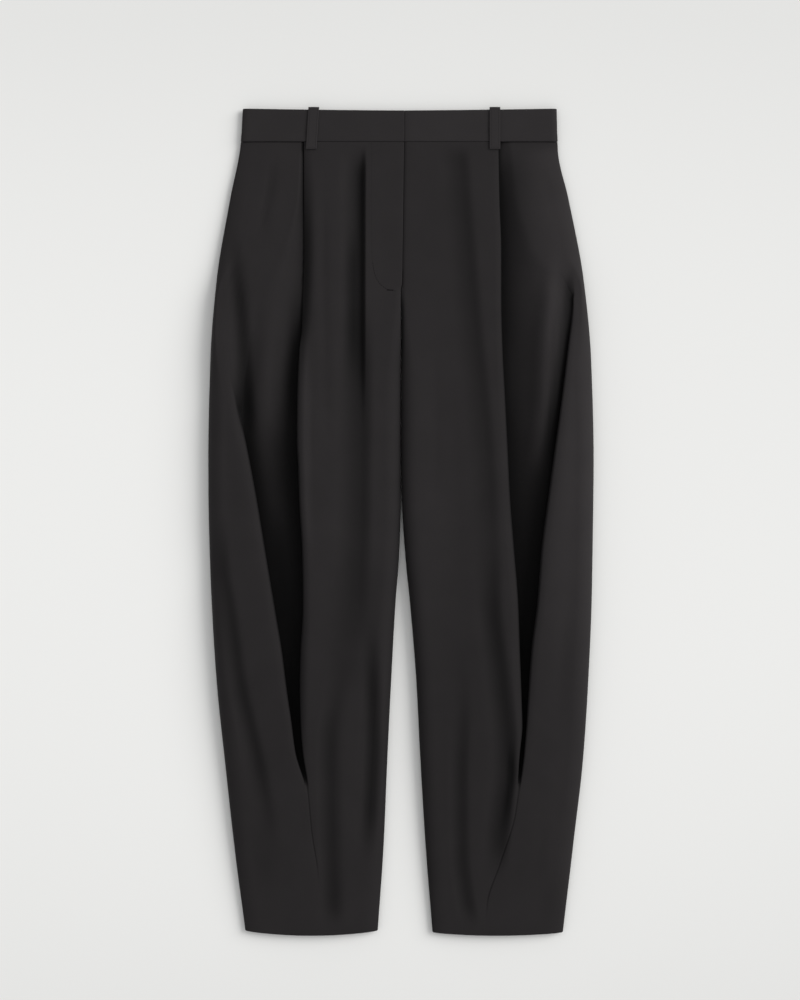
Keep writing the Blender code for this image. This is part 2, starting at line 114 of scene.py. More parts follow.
# Each leg's outline seen from the front: the side seam and the inner edge, across
OUTLINE_COLUMNS = ("down", "side", "inner")
OUTLINE = {
    "right": [
        (0, 191.5, 0.15), (41, 194, 0.15), (110, 207, 0.15), (207, 223, 0.15), (304, 230.5, 0.15), (425, 233, 0.15),
        (470, 232.8, 0.15), (546, 231, 2.6), (595, 229, 6.4), (692, 223, 11.8), (789, 213, 16.5), (885, 202.5, 20.6),
        (1000, 188.5, 28),
    ],
    "left": [
        (0, 188.5, 0.15), (50, 190, 0.15), (110, 203, 0.15), (207, 221, 0.15), (304, 230, 0.15), (425, 233, 0.15),
        (470, 232.6, 0.8), (546, 231.5, 5.6), (595, 230.6, 10.5), (692, 226.5, 18.4), (789, 220, 23.4),
        (885, 209, 29.2), (1000, 196, 38),
    ],
}

# Where the two lips lie, across. Below the row where they meet, the two columns hold the edges of the seam's
# groove, which runs on to the hem.
LIP_COLUMNS = ("down", "pleat", "tuck")
LIPS = {
    "right": [
        (41, 117.5, 150), (110, 117.3, 160), (170, 117, 182), (231, 118.5, 206), (270, 119.8, 207),
        (292, 122.5, 205.5), (352, 125, 198), (400, 125.4, 187.5), (430, 124, 181.5), (473, 122.6, 173.5),
        (534, 119, 163.5), (595, 118, 153.3), (625, 119, 148.3), (655, 121, 143.4), (700, 122, 137.8),
        (740, 121, 132), (776, 118.5, 127.3), (822, 109, 117), (873, 104, 112), (922, 97, 105), (1000, 93, 101),
    ],
    "left": [
        (41, 118, 150), (110, 119, 158), (170, 121, 178), (200, 121, 199), (215, 121, 206), (231, 121, 207.5),
        (292, 122.5, 201), (352, 125.5, 193.5), (413, 128.5, 185), (473, 131.5, 176.8), (534, 136.2, 169),
        (595, 141, 164.3), (655, 143.2, 157), (716, 145.5, 152.8), (745, 146.3, 151), (776, 143.5, 148.5),
        (849, 134, 142), (910, 116, 124), (958, 100, 108), (1000, 96, 104),
    ],
}

# How far the cloth goes back under each leg's pleat and tuck, the radii of its lip and of the fold below it, the
# height of the floor there and, in the pleat, how far the floor swells between the two. Under 0 the fold has faded to
# a slope of that width. The wearer's right pleat lies flatter at the top, and the left tuck opens further up and more
# sharply. Where they close, all four are alike.
FOLD_COLUMNS = ("down", "under", "lip", "fold", "floor", "swell")
CLOSING = [
    (655, 15, 4.0, 1.4, 3.1, 0.0), (716, 11, 3.4, 1.2, 3.6, 0.0), (776, 5, 2.4, 0.8, 5.4, 0.0),
    (822, -1, 1.6, 0.4, 17.3, 0.0), (900, -1, 1.6, 0.4, 14.5, 0.0), (1000, -1, 1.6, 0.4, 9.2, 0.0),
]
FOLDS = {
    "pleat": {
        "right": [
            (41, 22, 1.5, 0.35, 4.35, 0.2), (54, 22, 1.5, 0.4, 4.4, 0.3), (110, 20, 1.6, 0.5, 6.6, 0.8),
            (170, 18, 1.8, 0.7, 8.3, 1.2), (231, 18, 2.4, 1.0, 10.4, 1.6), (292, 18, 3.2, 1.1, 7.6, 5.0),
            (352, 18, 3.5, 1.2, 5.2, 7.0), (413, 17, 3.8, 1.4, 4.2, 3.8), (473, 16, 4.0, 1.5, 3.6, 1.4),
            (534, 15, 4.0, 1.5, 3.2, 0.3),
            *CLOSING,
        ],
        "left": [
            (41, 22, 1.5, 0.35, 4.35, 0.2), (54, 22, 1.5, 0.4, 4.4, 0.3), (110, 22, 1.8, 0.5, 5.2, 0.2),
            (170, 22, 2.2, 0.7, 6.0, 0.2), (200, 21.5, 2.5, 0.85, 6.3, 0.3), (215, 21.2, 2.6, 0.9, 6.4, 1.5),
            (231, 21, 2.8, 1.0, 6.4, 4.0), (260, 20, 3.0, 1.05, 6.2, 6.2), (292, 19, 3.2, 1.1, 5.8, 7.5),
            (352, 18, 3.5, 1.2, 5.0, 8.0), (413, 17, 3.8, 1.4, 4.2, 5.5), (473, 16, 4.0, 1.5, 3.6, 3.0),
            (534, 15, 4.0, 1.5, 3.2, 1.0),
            *CLOSING,
        ],
    },
    "tuck": {
        "right": [
            (41, -20, 8, 8, 6.7), (110, -24, 8, 8, 10.0), (170, -26, 8, 8, 12.7), (231, -24, 8, 8, 15.4),
            (292, -16, 8, 7, 14.0), (352, -5, 5, 3, 9.4), (413, 6, 3.8, 1.6, 6.0), (473, 13, 4.0, 1.5, 4.0),
            (534, 15, 4.0, 1.4, 3.2),
            *CLOSING,
        ],
        "left": [
            (41, -5, 8, 8, 6.7), (110, -5, 8, 8, 10.1), (170, -5, 8, 8, 12.8), (200, -4, 5, 5, 14.0),
            (215, -3, 3, 2.6, 13.5), (231, 1, 2.6, 1.4, 12.6), (292, 6, 3.0, 1.3, 10.8), (352, 9, 3.4, 1.4, 8.8),
            (413, 12, 3.8, 1.4, 6.0), (473, 15, 4.0, 1.5, 4.0), (534, 15, 4.0, 1.4, 3.2),
            *CLOSING,
        ],
    },
}

# Heights of the right side of the cloth: the side seam, the panel beside the tuck, the panel beside the pleat, and
# the panel at the centre line.
HEIGHT_COLUMNS = ("down", "seam", "outer", "inner", "centre")
HEIGHTS = [
    (41, 4.4, 6.8, 8.0, 7.9), (54, 4.4, 7.2, 8.15, 8.0), (110, 4.4, 10.2, 12.4, 9.6), (170, 4.8, 13.0, 15.4, 11.6),
    (231, 5.4, 16.4, 18.0, 13.6), (292, 6.0, 19.8, 20.6, 15.4), (352, 6.5, 22.4, 22.6, 17.0),
    (413, 6.8, 24.2, 24.2, 18.4), (473, 7.0, 25.0, 25.0, 19.2), (534, 7.0, 25.0, 25.0, 19.2),
    (655, 6.8, 24.0, 24.0, 18.0), (716, 6.6, 22.6, 22.6, 17.4), (776, 6.4, 20.6, 20.6, 16.6),
    (822, 6.0, 18.5, 18.5, 15.6), (900, 5.2, 15.5, 15.5, 13.4), (1000, 4.0, 10.0, 10.0, 9.2),
]

# The least that the cloth drops at a tuck that has faded to a slope, and the least height left to an open fold's return
LEAST_DROP = 0.3
LEAST_RETURN = 0.1

# Where the swell is highest, as a share of the way from the pleat to the tuck
SWELL_PLACE = {"right": 0.6, "left": 0.74}

# How each panel rolls down to its lip: the roll's width and its depth, for the pleat and for the tuck
ROLL_COLUMNS = ("down", "pleat_width", "pleat_depth", "tuck_width", "tuck_depth")
ROLLS = {
    "right": [
        (41, 10, 1.2, 4, 0.0), (110, 14, 3.6, 4, 0.0), (170, 14, 4.8, 4, 0.1), (215, 13, 4.6, 5, 0.1),
        (292, 9, 2.2, 6, 0.3), (352, 8, 1.6, 7, 0.7), (413, 7, 1.4, 7, 0.9), (580, 7, 1.6, 7, 0.9),
        (630, 8, 2.4, 7, 0.9), (680, 9, 3.0, 7, 0.9), (735, 8, 2.4, 6, 0.8), (762, 7, 1.4, 6, 0.6),
        (790, 6, 0.6, 5, 0.3), (840, 6, 0.15, 5, 0.15), (1000, 6, 0.1, 5, 0.1),
    ],
    "left": [
        (41, 6, 0.5, 4, 0.0), (200, 6, 0.9, 4, 0.1), (231, 6, 0.9, 5, 0.4), (292, 6, 1.0, 6, 0.8),
        (400, 7, 1.2, 7, 0.9), (700, 8, 1.4, 7, 0.9), (800, 6, 0.5, 5, 0.3), (840, 6, 0.15, 5, 0.15),
        (1000, 6, 0.1, 5, 0.1),
    ],
}

# Below the row where the lips meet: half the width of the seam's groove, the rows where it narrows to that, where it
# is sewn, its depth, how much finer its rounding gets there, and the rows where it fades out towards the hem
GROOVE_HALF = 0.8
GROOVE_START = 776.0
GROOVE_SEWN = 806.0
GROOVE_FULL = 835.0
GROOVE_DEPTH = 0.7
GROOVE_FINER = 0.45
GROOVE_FADE = {"right": (890.0, 955.0), "left": (945.0, 985.0)}

# Creases in the fronts, by leg: each one's route as (down, across), its reach to the middle and to the side, its
# depth, which is under 0 on a ridge, the shares of its length over which it fades in and out, and how much painted
# shade darkens its trough, which is under 0 where painted light makes the cloth lighter
ROUTE_COLUMNS = ("down", "across")
CREASE_COLUMNS = ("route", "to_middle", "to_side", "depth", "fade_in", "fade_out", "dark")
FRONT_CREASES = {
    "right": [
        ([(41, 117), (170, 116), (300, 119), (340, 121)], 15, 4, 0.8, 0.5, 0.3, 0.6),
        ([(200, 124), (270, 128), (330, 131), (400, 130)], 8, 15, 0.0, 0.4, 0.4, 0.5),
        ([(41, 48), (130, 48.6), (300, 48.6), (400, 49)], 6.8, 27, 6.0, 0.12, 0.45, 0.36),
        ([(225, 48.5), (300, 48.5), (420, 49), (520, 50), (600, 53), (680, 58)], 17, 33, 3.2, 0.22, 0.45, 0.42),
        ([(340, 152), (400, 146), (450, 142), (500, 138)], 26, 26, 0.0, 0.5, 0.4, 0.36),
        ([(500, 46), (600, 52), (660, 62), (760, 66)], 42, 46, 0.0, 0.35, 0.5, 0.26),
        ([(640, 66), (716, 80), (764, 87), (861, 86), (958, 84), (996, 84)], 18, 17, 2.8, 0.4, 0.1, 0.36),
        ([(600, 37), (700, 34), (764, 33.5), (812, 35), (861, 38), (920, 43)], 13, 15, 3.0, 0.35, 0.25, 0.6),
        ([(130, 57), (210, 58), (270, 58), (340, 59)], 9, 15, 0.0, 0.3, 0.4, 0.4),
        ([(470, 152), (540, 147), (600, 141), (660, 135)], 17, 17, 0.0, 0.4, 0.3, 0.5),
        ([(210, 112), (330, 114), (450, 113.5), (570, 109)], 8, 8, 0.0, 0.3, 0.3, -0.32),
        ([(480, 219), (558, 215), (594, 209), (643, 202), (691, 195), (740, 184), (788, 173), (860, 160), (930, 150)],
         12, 19, 3.0, 0.2, 0.35, 0.4),
        ([(50, 152), (85, 156), (134, 164), (170, 168)], 9, 9, 1.1, 0.4, 0.4, 0.14),
        ([(130, 204), (207, 197), (260, 192), (330, 188), (410, 184)], 13, 14, 2.4, 0.4, 0.2, 0.58),
        ([(60, 93), (200, 92), (300, 90), (460, 86)], 8, 9, 0.8, 0.3, 0.4, 0.04),
        ([(840, 176), (900, 170), (960, 164)], 22, 22, 0.6, 0.5, 0.4, 0.12),
    ],
    "left": [
        ([(41, 121), (110, 122), (170, 123), (230, 124), (380, 127)], 2, 44, 0.0, 0.13, 0.5, 0.45),
        ([(150, 190), (231, 181), (292, 174), (328, 172), (352, 171), (388, 168), (413, 165), (460, 159)],
         16, 11, -1.1, 0.4, 0.2, -0.66),
        ([(186, 206), (231, 201), (273, 196), (291, 193.5), (328, 188), (352, 184.5), (400, 178.5), (440, 174)],
         10, 9, 0.0, 0.16, 0.3, 0.72),
        ([(150, 38), (330, 41), (500, 44), (700, 42)], 42, 38, 0.0, 0.4, 0.4, -0.16),
        ([(755, 134), (800, 134), (840, 130), (885, 123)], 9, 7, 0.0, 0.3, 0.4, 0.5),
        ([(260, 130), (320, 131), (390, 134)], 9, 10, 0.0, 0.4, 0.4, -0.3),
        ([(700, 206), (850, 190), (970, 176)], 30, 30, 0.0, 0.4, 0.3, -0.14),
        ([(41, 182), (170, 195), (400, 212), (600, 205), (850, 185)], 50, 60, 0.0, 0.02, 0.5, -0.34),
        ([(41, 69), (110, 74), (170, 79), (231, 84), (292, 89.5), (352, 96), (413, 102), (473, 105.5), (534, 108),
          (640, 110)], 30, 15, 2.1, 0.04, 0.3, 0.28),
        ([(500, 109), (600, 110), (655, 116), (716, 123), (764, 128), (800, 128.5), (825, 125), (861, 121),
          (940, 114)], 24, 15, 3.2, 0.3, 0.14, 0.48),
        ([(640, 66), (716, 73), (812, 70.5), (900, 71.5), (958, 78), (996, 85)], 15, 14, 2.2, 0.5, 0.1, 0.3),
        ([(560, 205), (660, 196), (760, 190)], 14, 14, 0.7, 0.5, 0.5, 0.06),
        ([(820, 176), (900, 168), (960, 160)], 14, 14, 0.6, 0.5, 0.4, 0.06),
        ([(240, 40), (380, 44), (520, 42)], 10, 10, 0.4, 0.4, 0.4, 0.04),
        ([(212, 1.2), (250, 1.8), (300, 1.2), (345, 0.6)], 4, 4, 0.0, 0.25, 0.5, 0.8),
    ],
}

# Creases in the backs, which lie on the floor, so they rise off it: like the ones on the front, and as uneven
BACK_CREASES = {
    "right": [
        ([(130, 120), (330, 132), (620, 128)], 16, 20, 2.0, 0.3, 0.4),
        ([(520, 70), (700, 84), (930, 92)], 14, 14, 1.6, 0.3, 0.3),
        ([(240, 190), (420, 178), (610, 186)], 13, 15, 1.2, 0.3, 0.4),
        ([(300, 36), (380, 60), (440, 96)], 10, 12, 1.1, 0.4, 0.5),
        ([(700, 150), (820, 144), (920, 150)], 12, 12, 0.9, 0.4, 0.4),
    ],
    "left": [
        ([(140, 112), (360, 118), (560, 136)], 18, 16, 1.8, 0.3, 0.4),
        ([(480, 92), (680, 104), (900, 98)], 13, 16, 1.7, 0.4, 0.3),
        ([(220, 184), (400, 196), (540, 190)], 14, 12, 1.1, 0.3, 0.5),
        ([(310, 30), (372, 58), (450, 88)], 10, 11, 1.2, 0.4, 0.5),
        ([(640, 160), (760, 166), (880, 158)], 12, 13, 1.0, 0.4, 0.4),
    ],
}

# The back darts, sewn from the waistband down: the place across of each one's head and foot, and its end
DARTS = [(96.0, 92.0, 150.0)]
DART_DEPTH = 0.9
DART_EASE = 60.0
DART_REACH = 1.6

# The pitch of the shells' rows, stretch by stretch as far as a distance below the waist: the fly's foot and the
# place where the folds close need closer rows
FRONT_PITCH = ((160, 4.4), (226, 1.5), (740, 4.4), (850, 2.2), (1000, 4.4))
BACK_PITCH = ((1000, 6.4),)

# The steps in which a front's section is drawn
SIDE_STEPS = 17
OUTER_STEPS = 14
ROLL_STEPS = 5
LIP_STEPS = 9
RETURN_STEPS = 7
FOLD_STEPS = 6
FLOOR_STEPS = 22
EDGE_SHARES = (0, 0.18, 0.36, 0.52, 0.66, 0.77, 0.86, 0.92, 0.96, 0.99, 1)

# Between the pleat and the inner edge: the line beside which the columns are closest, along the small pleat's edge
# and the trough of the calf, their places beside it, how far from the pleat they keep, and the steps from the pleat
# to them and on to the inner edge
INNER_FOCUS = {
    "right": [(41, 43), (300, 44.5), (430, 46), (600, 54), (716, 78), (820, 86), (1000, 84)],
    "left": [(41, 62), (300, 66), (600, 68), (716, 74), (910, 72), (1000, 88)],
}
FOCUS_OFFSETS = (9.0, 6.8, 5.0, 3.6, 2.5, 1.6, 0.8, 0.1, -0.6, -1.3, -2.2, -3.4, -5.2)
FOCUS_LEAST = 1.5
PLEAT_TO_FOCUS = 14
FOCUS_TO_EDGE = 9

# The first and last point of a front's section that lie in the folds
FOLD_FIRST = SIDE_STEPS + OUTER_STEPS + ROLL_STEPS + 1
FOLD_LAST = FOLD_FIRST + 2 * (LIP_STEPS + RETURN_STEPS + FOLD_STEPS + 1) + FLOOR_STEPS - 2

# How the cloth turns up inside at the hem, and the steps in which it does
HEM_RADIUS = 0.75
HEM_DEPTH = 34.0
HEM_TURN_STEPS = 8
HEM_STEPS = 5

# How dark the painted shade in the cloth's colour gets where it sees none of the sky, how much darker the calves are
# painted, as they are further from the light, and from where to where that grows, and how fast the painted shade
# darkens in the folds, by leg
FOLD_DARK = 0.14
CALF_PAINTED_SHADE = 0.1
CALF_SHADE_REACH = (480.0, 800.0)
SHADE_POWER = {"right": 5.6, "left": 6.5}

# Which points of a section count for each other's shade: the least distance across, and the reach and the rise of a
# point that hides another, which then sees this share
SHADE_LEAST = 0.05
HIDING_REACH = 0.6
HIDING_RISE = 0.9
HIDDEN_SEES = 0.25

# How far the cloth's edge is rounded off at a seam, from the edge inwards: the distance and the drop; the first rows
# in from such an edge; the angle in degrees above which an edge of the mesh stays sharp; and how short a mitre gets
RIM = ((0.0, 0.3), (0.3, 0.09), (0.75, 0.0))
EDGE_ROWS = (0.0, 0.35, 0.9)
SHARP_ANGLE = 48.0
MITRE_LEAST = 0.7


def column(table, names, name, down):
    """The table's column at a distance below the waist, by a monotone cubic through its rows."""
    place = names.index(name)
    xs = [float(row[0]) for row in table]
    ys = [float(row[place]) for row in table]
    down = min(max(down, xs[0]), xs[-1])
    steps = [(ys[i + 1] - ys[i]) / (xs[i + 1] - xs[i]) for i in range(len(xs) - 1)]
    slopes = [steps[0]]
    for before, after in zip(steps, steps[1:]):
        slopes.append(2 * before * after / (before + after) if before * after > 0 else 0.0)
    slopes.append(steps[-1])
    i = min(max(sum(x <= down for x in xs) - 1, 0), len(xs) - 2)
    width = xs[i + 1] - xs[i]
    t = (down - xs[i]) / width
    start = (1 + 2 * t) * (1 - t) ** 2 * ys[i] + t * (1 - t) ** 2 * width * slopes[i]
    end = t * t * (3 - 2 * t) * ys[i + 1] + t * t * (t - 1) * width * slopes[i + 1]
    return start + end


def ramp(value, low, high):
    """0 below low, 1 above high and a soft S between."""
    t = min(max((value - low) / (high - low), 0.0), 1.0)
    return t * t * (3 - 2 * t)


def mixed(first, last, share):
    """A share of the way from the first to the last."""
    return first + share * (last - first)


def bell(share):
    """1 at 0, and a soft fall to 0 at -1 and at 1."""
    return 0.5 + 0.5 * np.cos(np.pi * np.clip(share, -1, 1))


def outline(leg, name, down):
    return column(OUTLINE[leg], OUTLINE_COLUMNS, name, down)


def lip(leg, name, down):
    """A lip's place across. The seam's groove below the lips is narrower here than in the solid."""
    pleat = column(LIPS[leg], LIP_COLUMNS, "pleat", down)
    tuck = column(LIPS[leg], LIP_COLUMNS, "tuck", down)
    wide, away = (pleat, -GROOVE_HALF) if name == "pleat" else (tuck, GROOVE_HALF)
    return mixed(wide, (pleat + tuck) / 2 + away, ramp(down, GROOVE_START, GROOVE_FULL))


def sewn(down):
    """0 where the folds are still open, 1 in the short seam below them."""
    return ramp(down, GROOVE_SEWN, GROOVE_FULL)


def fold(leg, of, name, down):
    """A measure of the leg's pleat or tuck. In the seam's groove the cloth turns more finely than the solid."""
    finer = 1 - GROOVE_FINER * sewn(down) * (name in ("under", "lip", "fold"))
    return finer * column(FOLDS[of][leg], FOLD_COLUMNS, name, down)


def height(name, down):
    return column(HEIGHTS, HEIGHT_COLUMNS, name, down)


def floor_height(leg, of, down):
    """The floor's height below a lip, and further down the bottom of the seam's groove."""
    outer = height("outer", down)
    return mixed(min(fold(leg, of, "floor", down), outer - LEAST_DROP), outer - GROOVE_DEPTH, sewn(down))


def roll(leg, name, down):
    return column(ROLLS[leg], ROLL_COLUMNS, name, down)


def closure_edge(down):
    """Where the fly's edge lies past the centre line, on the wearer's left."""
    return CLOSURE_EDGE - CLOSURE_DRIFT * down / FLY_END


def creased(creases, leg, down, across, name):
    """What a leg's creases add up to at places of one row: by name, their depth or their painted shade."""
    total = np.zeros(len(across))
    for row in creases[leg]:
        crease = dict(zip(CREASE_COLUMNS, row))
        route = crease["route"]
        along = (down - route[0][0]) / (route[-1][0] - route[0][0])
        if 0.0 <= along <= 1.0:
            away = across - column(route, ROUTE_COLUMNS, "across", down)
            reach = np.where(away > 0, crease["to_side"], crease["to_middle"])
            fade = ramp(along, 0, crease["fade_in"]) * ramp(1 - along, 0, crease["fade_out"])
            total += crease[name] * fade * bell(away / reach)
    return total


def arc_lengths(path):
    """The distance along a path from its start to each of its points."""
    return np.concatenate([[0.0], np.cumsum(np.linalg.norm(np.diff(path, axis=0), axis=1))])


def along_route(route, pitch, steps=24):
    """Points along a smooth route at an even pitch: a Catmull-Rom curve through the route."""
    knots = np.array([route[0], *route, route[-1]], float)
    dense = []
    for a, b, c, d in zip(knots, knots[1:], knots[2:], knots[3:]):
        for t in np.linspace(0, 1, steps, endpoint=False):
            dense.append(0.5 * (2 * b + (c - a) * t + (2 * a - 5 * b + 4 * c - d) * t ** 2
                                + (3 * b - a - 3 * c + d) * t ** 3))
    dense = np.array([*dense, knots[-1]])
    lengths = arc_lengths(dense)
    stops = np.arange(0, lengths[-1], pitch)
    return [np.array([np.interp(s, lengths, dense[:, k]) for k in (0, 1)]) for s in stops]


# The fly's stitching on the wearer's right, from the waistband down and round to the fly's edge, as (down, across);
# where its curve starts; and how far, how wide and from where to where down it draws the cloth in
FLY_ROUTE = [(42, 35.5), (100, 35.6), (150, 35.6), (175, 35.2), (189, 33.8), (202, 31.2), (211, 26.5), (217, 20),
             (220, 13.3), (221.5, 5)]
FLY_CURVE_START = 184.0
FLY_GROOVE = 0.12
FLY_GROOVE_REACH = 1.5
FLY_GROOVE_GROWS = (60.0, 200.0)
FLY_LINE = np.array(along_route(FLY_ROUTE, pitch=0.8))


def arc(centre, radius, first, last, steps):
    """Points round a centre, from one heading to another; a radius under 0 turns the other way."""
    for step in range(steps + 1):
        heading = first + (last - first) * step / steps
        yield centre + radius * np.array([-math.sin(heading), math.cos(heading)])


def turned_back(leg, of, down, high, low, slope):
    """Points over a fold's lip at across 0 and back under it: an arc, a straight return and an arc to the floor.

    They start towards the middle, down a slope, from the height high, and end level at the height low.
    """
    under = fold(leg, of, "under", down)
    lip_radius = fold(leg, of, "lip", down)
    if under > 0:
        lip_radius = min(lip_radius, (high - low) / 2 - LEAST_RETURN)
    fold_radius = fold(leg, of, "fold", down)
    lip_centre = np.array([lip_radius, high - lip_radius])
    fold_centre = np.array([under - fold_radius, low + fold_radius])
    between = fold_centre - lip_centre
    distance = max(float(np.hypot(*between)), lip_radius + fold_radius)
    heading = math.atan2(between[1], between[0]) % (2 * math.pi)
    turned = heading + math.asin((lip_radius + fold_radius) / distance)
    over = list(arc(lip_centre, -lip_radius, min(math.pi + math.atan(slope), turned), turned, LIP_STEPS))
    back = list(arc(fold_centre, fold_radius, turned, math.pi, FOLD_STEPS))
    straight = [mixed(over[-1], back[0], step / RETURN_STEPS) for step in range(1, RETURN_STEPS)]
    return [(float(point[0]), float(point[1])) for point in (*over, *straight, *back)]


def side_edge(side, seam, top, rounding, steps=SIDE_STEPS):
    """Points up a side from its seam and over onto the panel, the first ones close together for the seam's groove."""
    angles = [math.pi / 2 * ((step + 0.5) / (steps + 0.5)) ** SIDE_CROWDING for step in range(steps + 1)]
    return [(side - rounding * (1 - math.cos(a)), mixed(seam, top, math.sin(a))) for a in (0.0, *angles)]


def rounded_in(inner, rounding, top, low, turn, shares):
    """Points round a panel's inner edge, through a turn in degrees, from the level top to the level low."""
    turn = math.radians(turn)
    return [(inner + rounding * (1 - math.sin(turn * share) / math.sin(turn)),
             mixed(top, low, (1 - math.cos(turn * share)) / (1 - math.cos(turn)))) for share in shares]


def lap_edge(down):
    """Points to the fly's edge on the wearer's right, which lies on top."""
    edge = closure_edge(down)
    top = height("centre", down)
    return [(FLY_BLEND * (1 - share) - edge, top - LAP_DROP * share ** 4) for share in EDGE_SHARES]


def underlap_edge(down):
    """Points down a step and in under the fly's edge on the wearer's left."""
    edge = closure_edge(down)
    top = height("centre", down)
    start = edge + 1.5 * SEAM_GAP
    end = edge + SEAM_GAP - (UNDERLAP + edge + SEAM_GAP) * ramp(UNDERLAP_END - down, -UNDERLAP_EASE, UNDERLAP_EASE)
    shares = [step / UNDERLAP_STEPS for step in range(UNDERLAP_STEPS + 1)]
    under = [(mixed(start, end, share), top - CLOTH - UNDERLAP_DROP) for share in shares]
    return [(edge + away, top - drop) for away, drop in UNDERLAP_STEP] + under


def inner_edge(leg, down):
    """Points from the panel to its inner edge: the fly above, the groove between the legs, then the inseam."""
    fly = lap_edge(down) if leg == "right" else underlap_edge(down)
    if down <= FLY_END - FLY_EASE:
        return fly
    joined = ramp(down, FLY_END, CROTCH)
    top = height("centre", down)
    low = mixed(top, height("seam", down) + SEAM_GAP / 2, joined) - CROTCH_DIP * (1 - joined)
    rounding = INNER_ROUNDING * mixed(CROTCH_ROUNDING, 1, joined)
    points = rounded_in(outline(leg, "inner", down), rounding, top, low, mixed(*FRONT_TURN, joined), EDGE_SHARES)
    past = ramp(down, FLY_END - FLY_EASE, FLY_END)
    return [(mixed(a[0], b[0], past), mixed(a[1], b[1], past)) for a, b in zip(fly, points)]


def rolled_down(edge, width, depth, far):
    """Points from a lip's first point away over its roll: a parabola that is level at its far end."""
    shares = [step / ROLL_STEPS for step in range(1, ROLL_STEPS + 1)]
    return [(edge[0] + far * width * s, edge[1] + depth * (1 - (1 - s) ** 2)) for s in shares]


def front_section(leg, down):
    """The right side of a front at one level, from the side seam to the inner edge."""
    side = outline(leg, "side", down)
    seam = height("seam", down) + SEAM_GAP / 2
    lips, over, rolls = {}, {}, {}
    for of, beside, far in (("tuck", "outer", 1), ("pleat", "inner", -1)):
        lips[of] = lip(leg, of, down)
        width, depth = roll(leg, f"{of}_width", down), roll(leg, f"{of}_depth", down)
        top = height(beside, down) - depth
        turned = turned_back(leg, of, down, top, floor_height(leg, of, down), 2 * depth / width)
        over[of] = [(lips[of] + far * across, level) for across, level in turned]
        rolls[of] = rolled_down(over[of][0], width, depth, far)

    top = rolls["tuck"][-1]
    rounding = min(SIDE_ROUNDING, side - top[0] - OUTER_LEAST)
    share = 1 - (1 - SHOULDER) * ramp(side - top[0] - rounding, OUTER_LEAST, SHOULDER_REACH)
    shoulder = mixed(seam, top[1], share)
    points = side_edge(side, seam, shoulder, rounding)
    start = points[-1][0]
    for t in (step / OUTER_STEPS for step in range(1, OUTER_STEPS)):
        points.append((mixed(start, top[0], t), mixed(shoulder, top[1], ramp(t, 0, 1))))
    points += rolls["tuck"][::-1] + over["tuck"]

    (start, high), (end, low) = over["tuck"][-1], over["pleat"][-1]
    bend = math.log(0.5) / math.log(SWELL_PLACE[leg])
    for step in range(1, FLOOR_STEPS):
        across = mixed(start, end, step / FLOOR_STEPS)
        open_share = min(max((across - lips["pleat"]) / (start - lips["pleat"]), 0.0), 1.0)
        swell = fold(leg, "pleat", "swell", down) * math.sin(math.pi * open_share ** bend) ** 2
        points.append((across, mixed(low, high, ramp(open_share, 0, 1)) + swell))
    points += over["pleat"][::-1] + rolls["pleat"]

    edge = inner_edge(leg, down)
    (start, high), (end, low) = points[-1], edge[0]
    focus = min(column(INNER_FOCUS[leg], ROUTE_COLUMNS, "across", down), start - FOCUS_OFFSETS[0] - FOCUS_LEAST)
    places = [focus + offset for offset in FOCUS_OFFSETS]
    places = [*np.linspace(start, places[0], PLEAT_TO_FOCUS)[1:-1], *places,
              *np.linspace(places[-1], end, FOCUS_TO_EDGE)[1:-1]]
    points += [(float(across), mixed(high, low, ramp((start - across) / (start - end), 0, 1))) for across in places]
    points = pressed(np.array(points + edge), ramp(down, *GROOVE_FADE[leg]))
    points[:, 1] -= creased(FRONT_CREASES, leg, down, points[:, 0], "depth")
    if leg == "right" and down < FLY_END:
        points[FOLD_LAST:, 1] -= fly_groove(down, points[FOLD_LAST:, 0])
    return points


def pressed(points, share):
    """A front's section with its folds drawn flat by a share."""
    flat = np.linspace(points[FOLD_FIRST - 1], points[FOLD_LAST + 1], FOLD_LAST - FOLD_FIRST + 3)[1:-1]
    points[FOLD_FIRST:FOLD_LAST + 1] += share * (flat - points[FOLD_FIRST:FOLD_LAST + 1])
    return points


def front_hem_section(leg, down):
    """A front's section where it is turned up inside the hem, without the seam's groove."""
    return pressed(front_section(leg, down), 1.0)


def fly_groove(down, across):
    """How far the fly's row of stitches draws the cloth in at places of one row."""
    away = np.hypot(FLY_LINE[:, 0] - down, FLY_LINE[:, 1] - across[:, None]).min(axis=1)
    return FLY_GROOVE * ramp(down, *FLY_GROOVE_GROWS) * np.clip(1 - away / FLY_GROOVE_REACH, 0, 1)


def back_section(leg, down, steps=44, edge_steps=10):
    """The right side of a back, which faces down, at one level, from the side seam to the inner edge."""
    side, inner = outline(leg, "side", down), outline(leg, "inner", down)
    seam = height("seam", down) - SEAM_GAP / 2
    level = BACK_RAISE * (1 - ramp(down, BACK_LEVEL_START, BACK_LEVEL_END))
    points = side_edge(side, seam, level, BACK_ROUNDING, edge_steps)
    first, last = side - BACK_ROUNDING, inner + BACK_ROUNDING
    points += [(mixed(first, last, step / steps), level) for step in range(1, steps)]
    joined = ramp(down, BACK_JOIN, CROTCH)
    shares = [step / edge_steps for step in range(edge_steps + 1)]
    points += rounded_in(inner, BACK_ROUNDING, level, mixed(level, seam, joined), mixed(*BACK_TURN, joined), shares)
    points = np.array(points)
    points[:, 1] += creased(BACK_CREASES, leg, down, points[:, 0], "depth")
    for head, foot, end in DARTS:
        if down < end:
            away = np.abs(points[:, 0] - mixed(head, foot, down / end))
            points[:, 1] += DART_DEPTH * ramp(end - down, 0, DART_EASE) * np.clip(1 - away / DART_REACH, 0, 1)
    return points


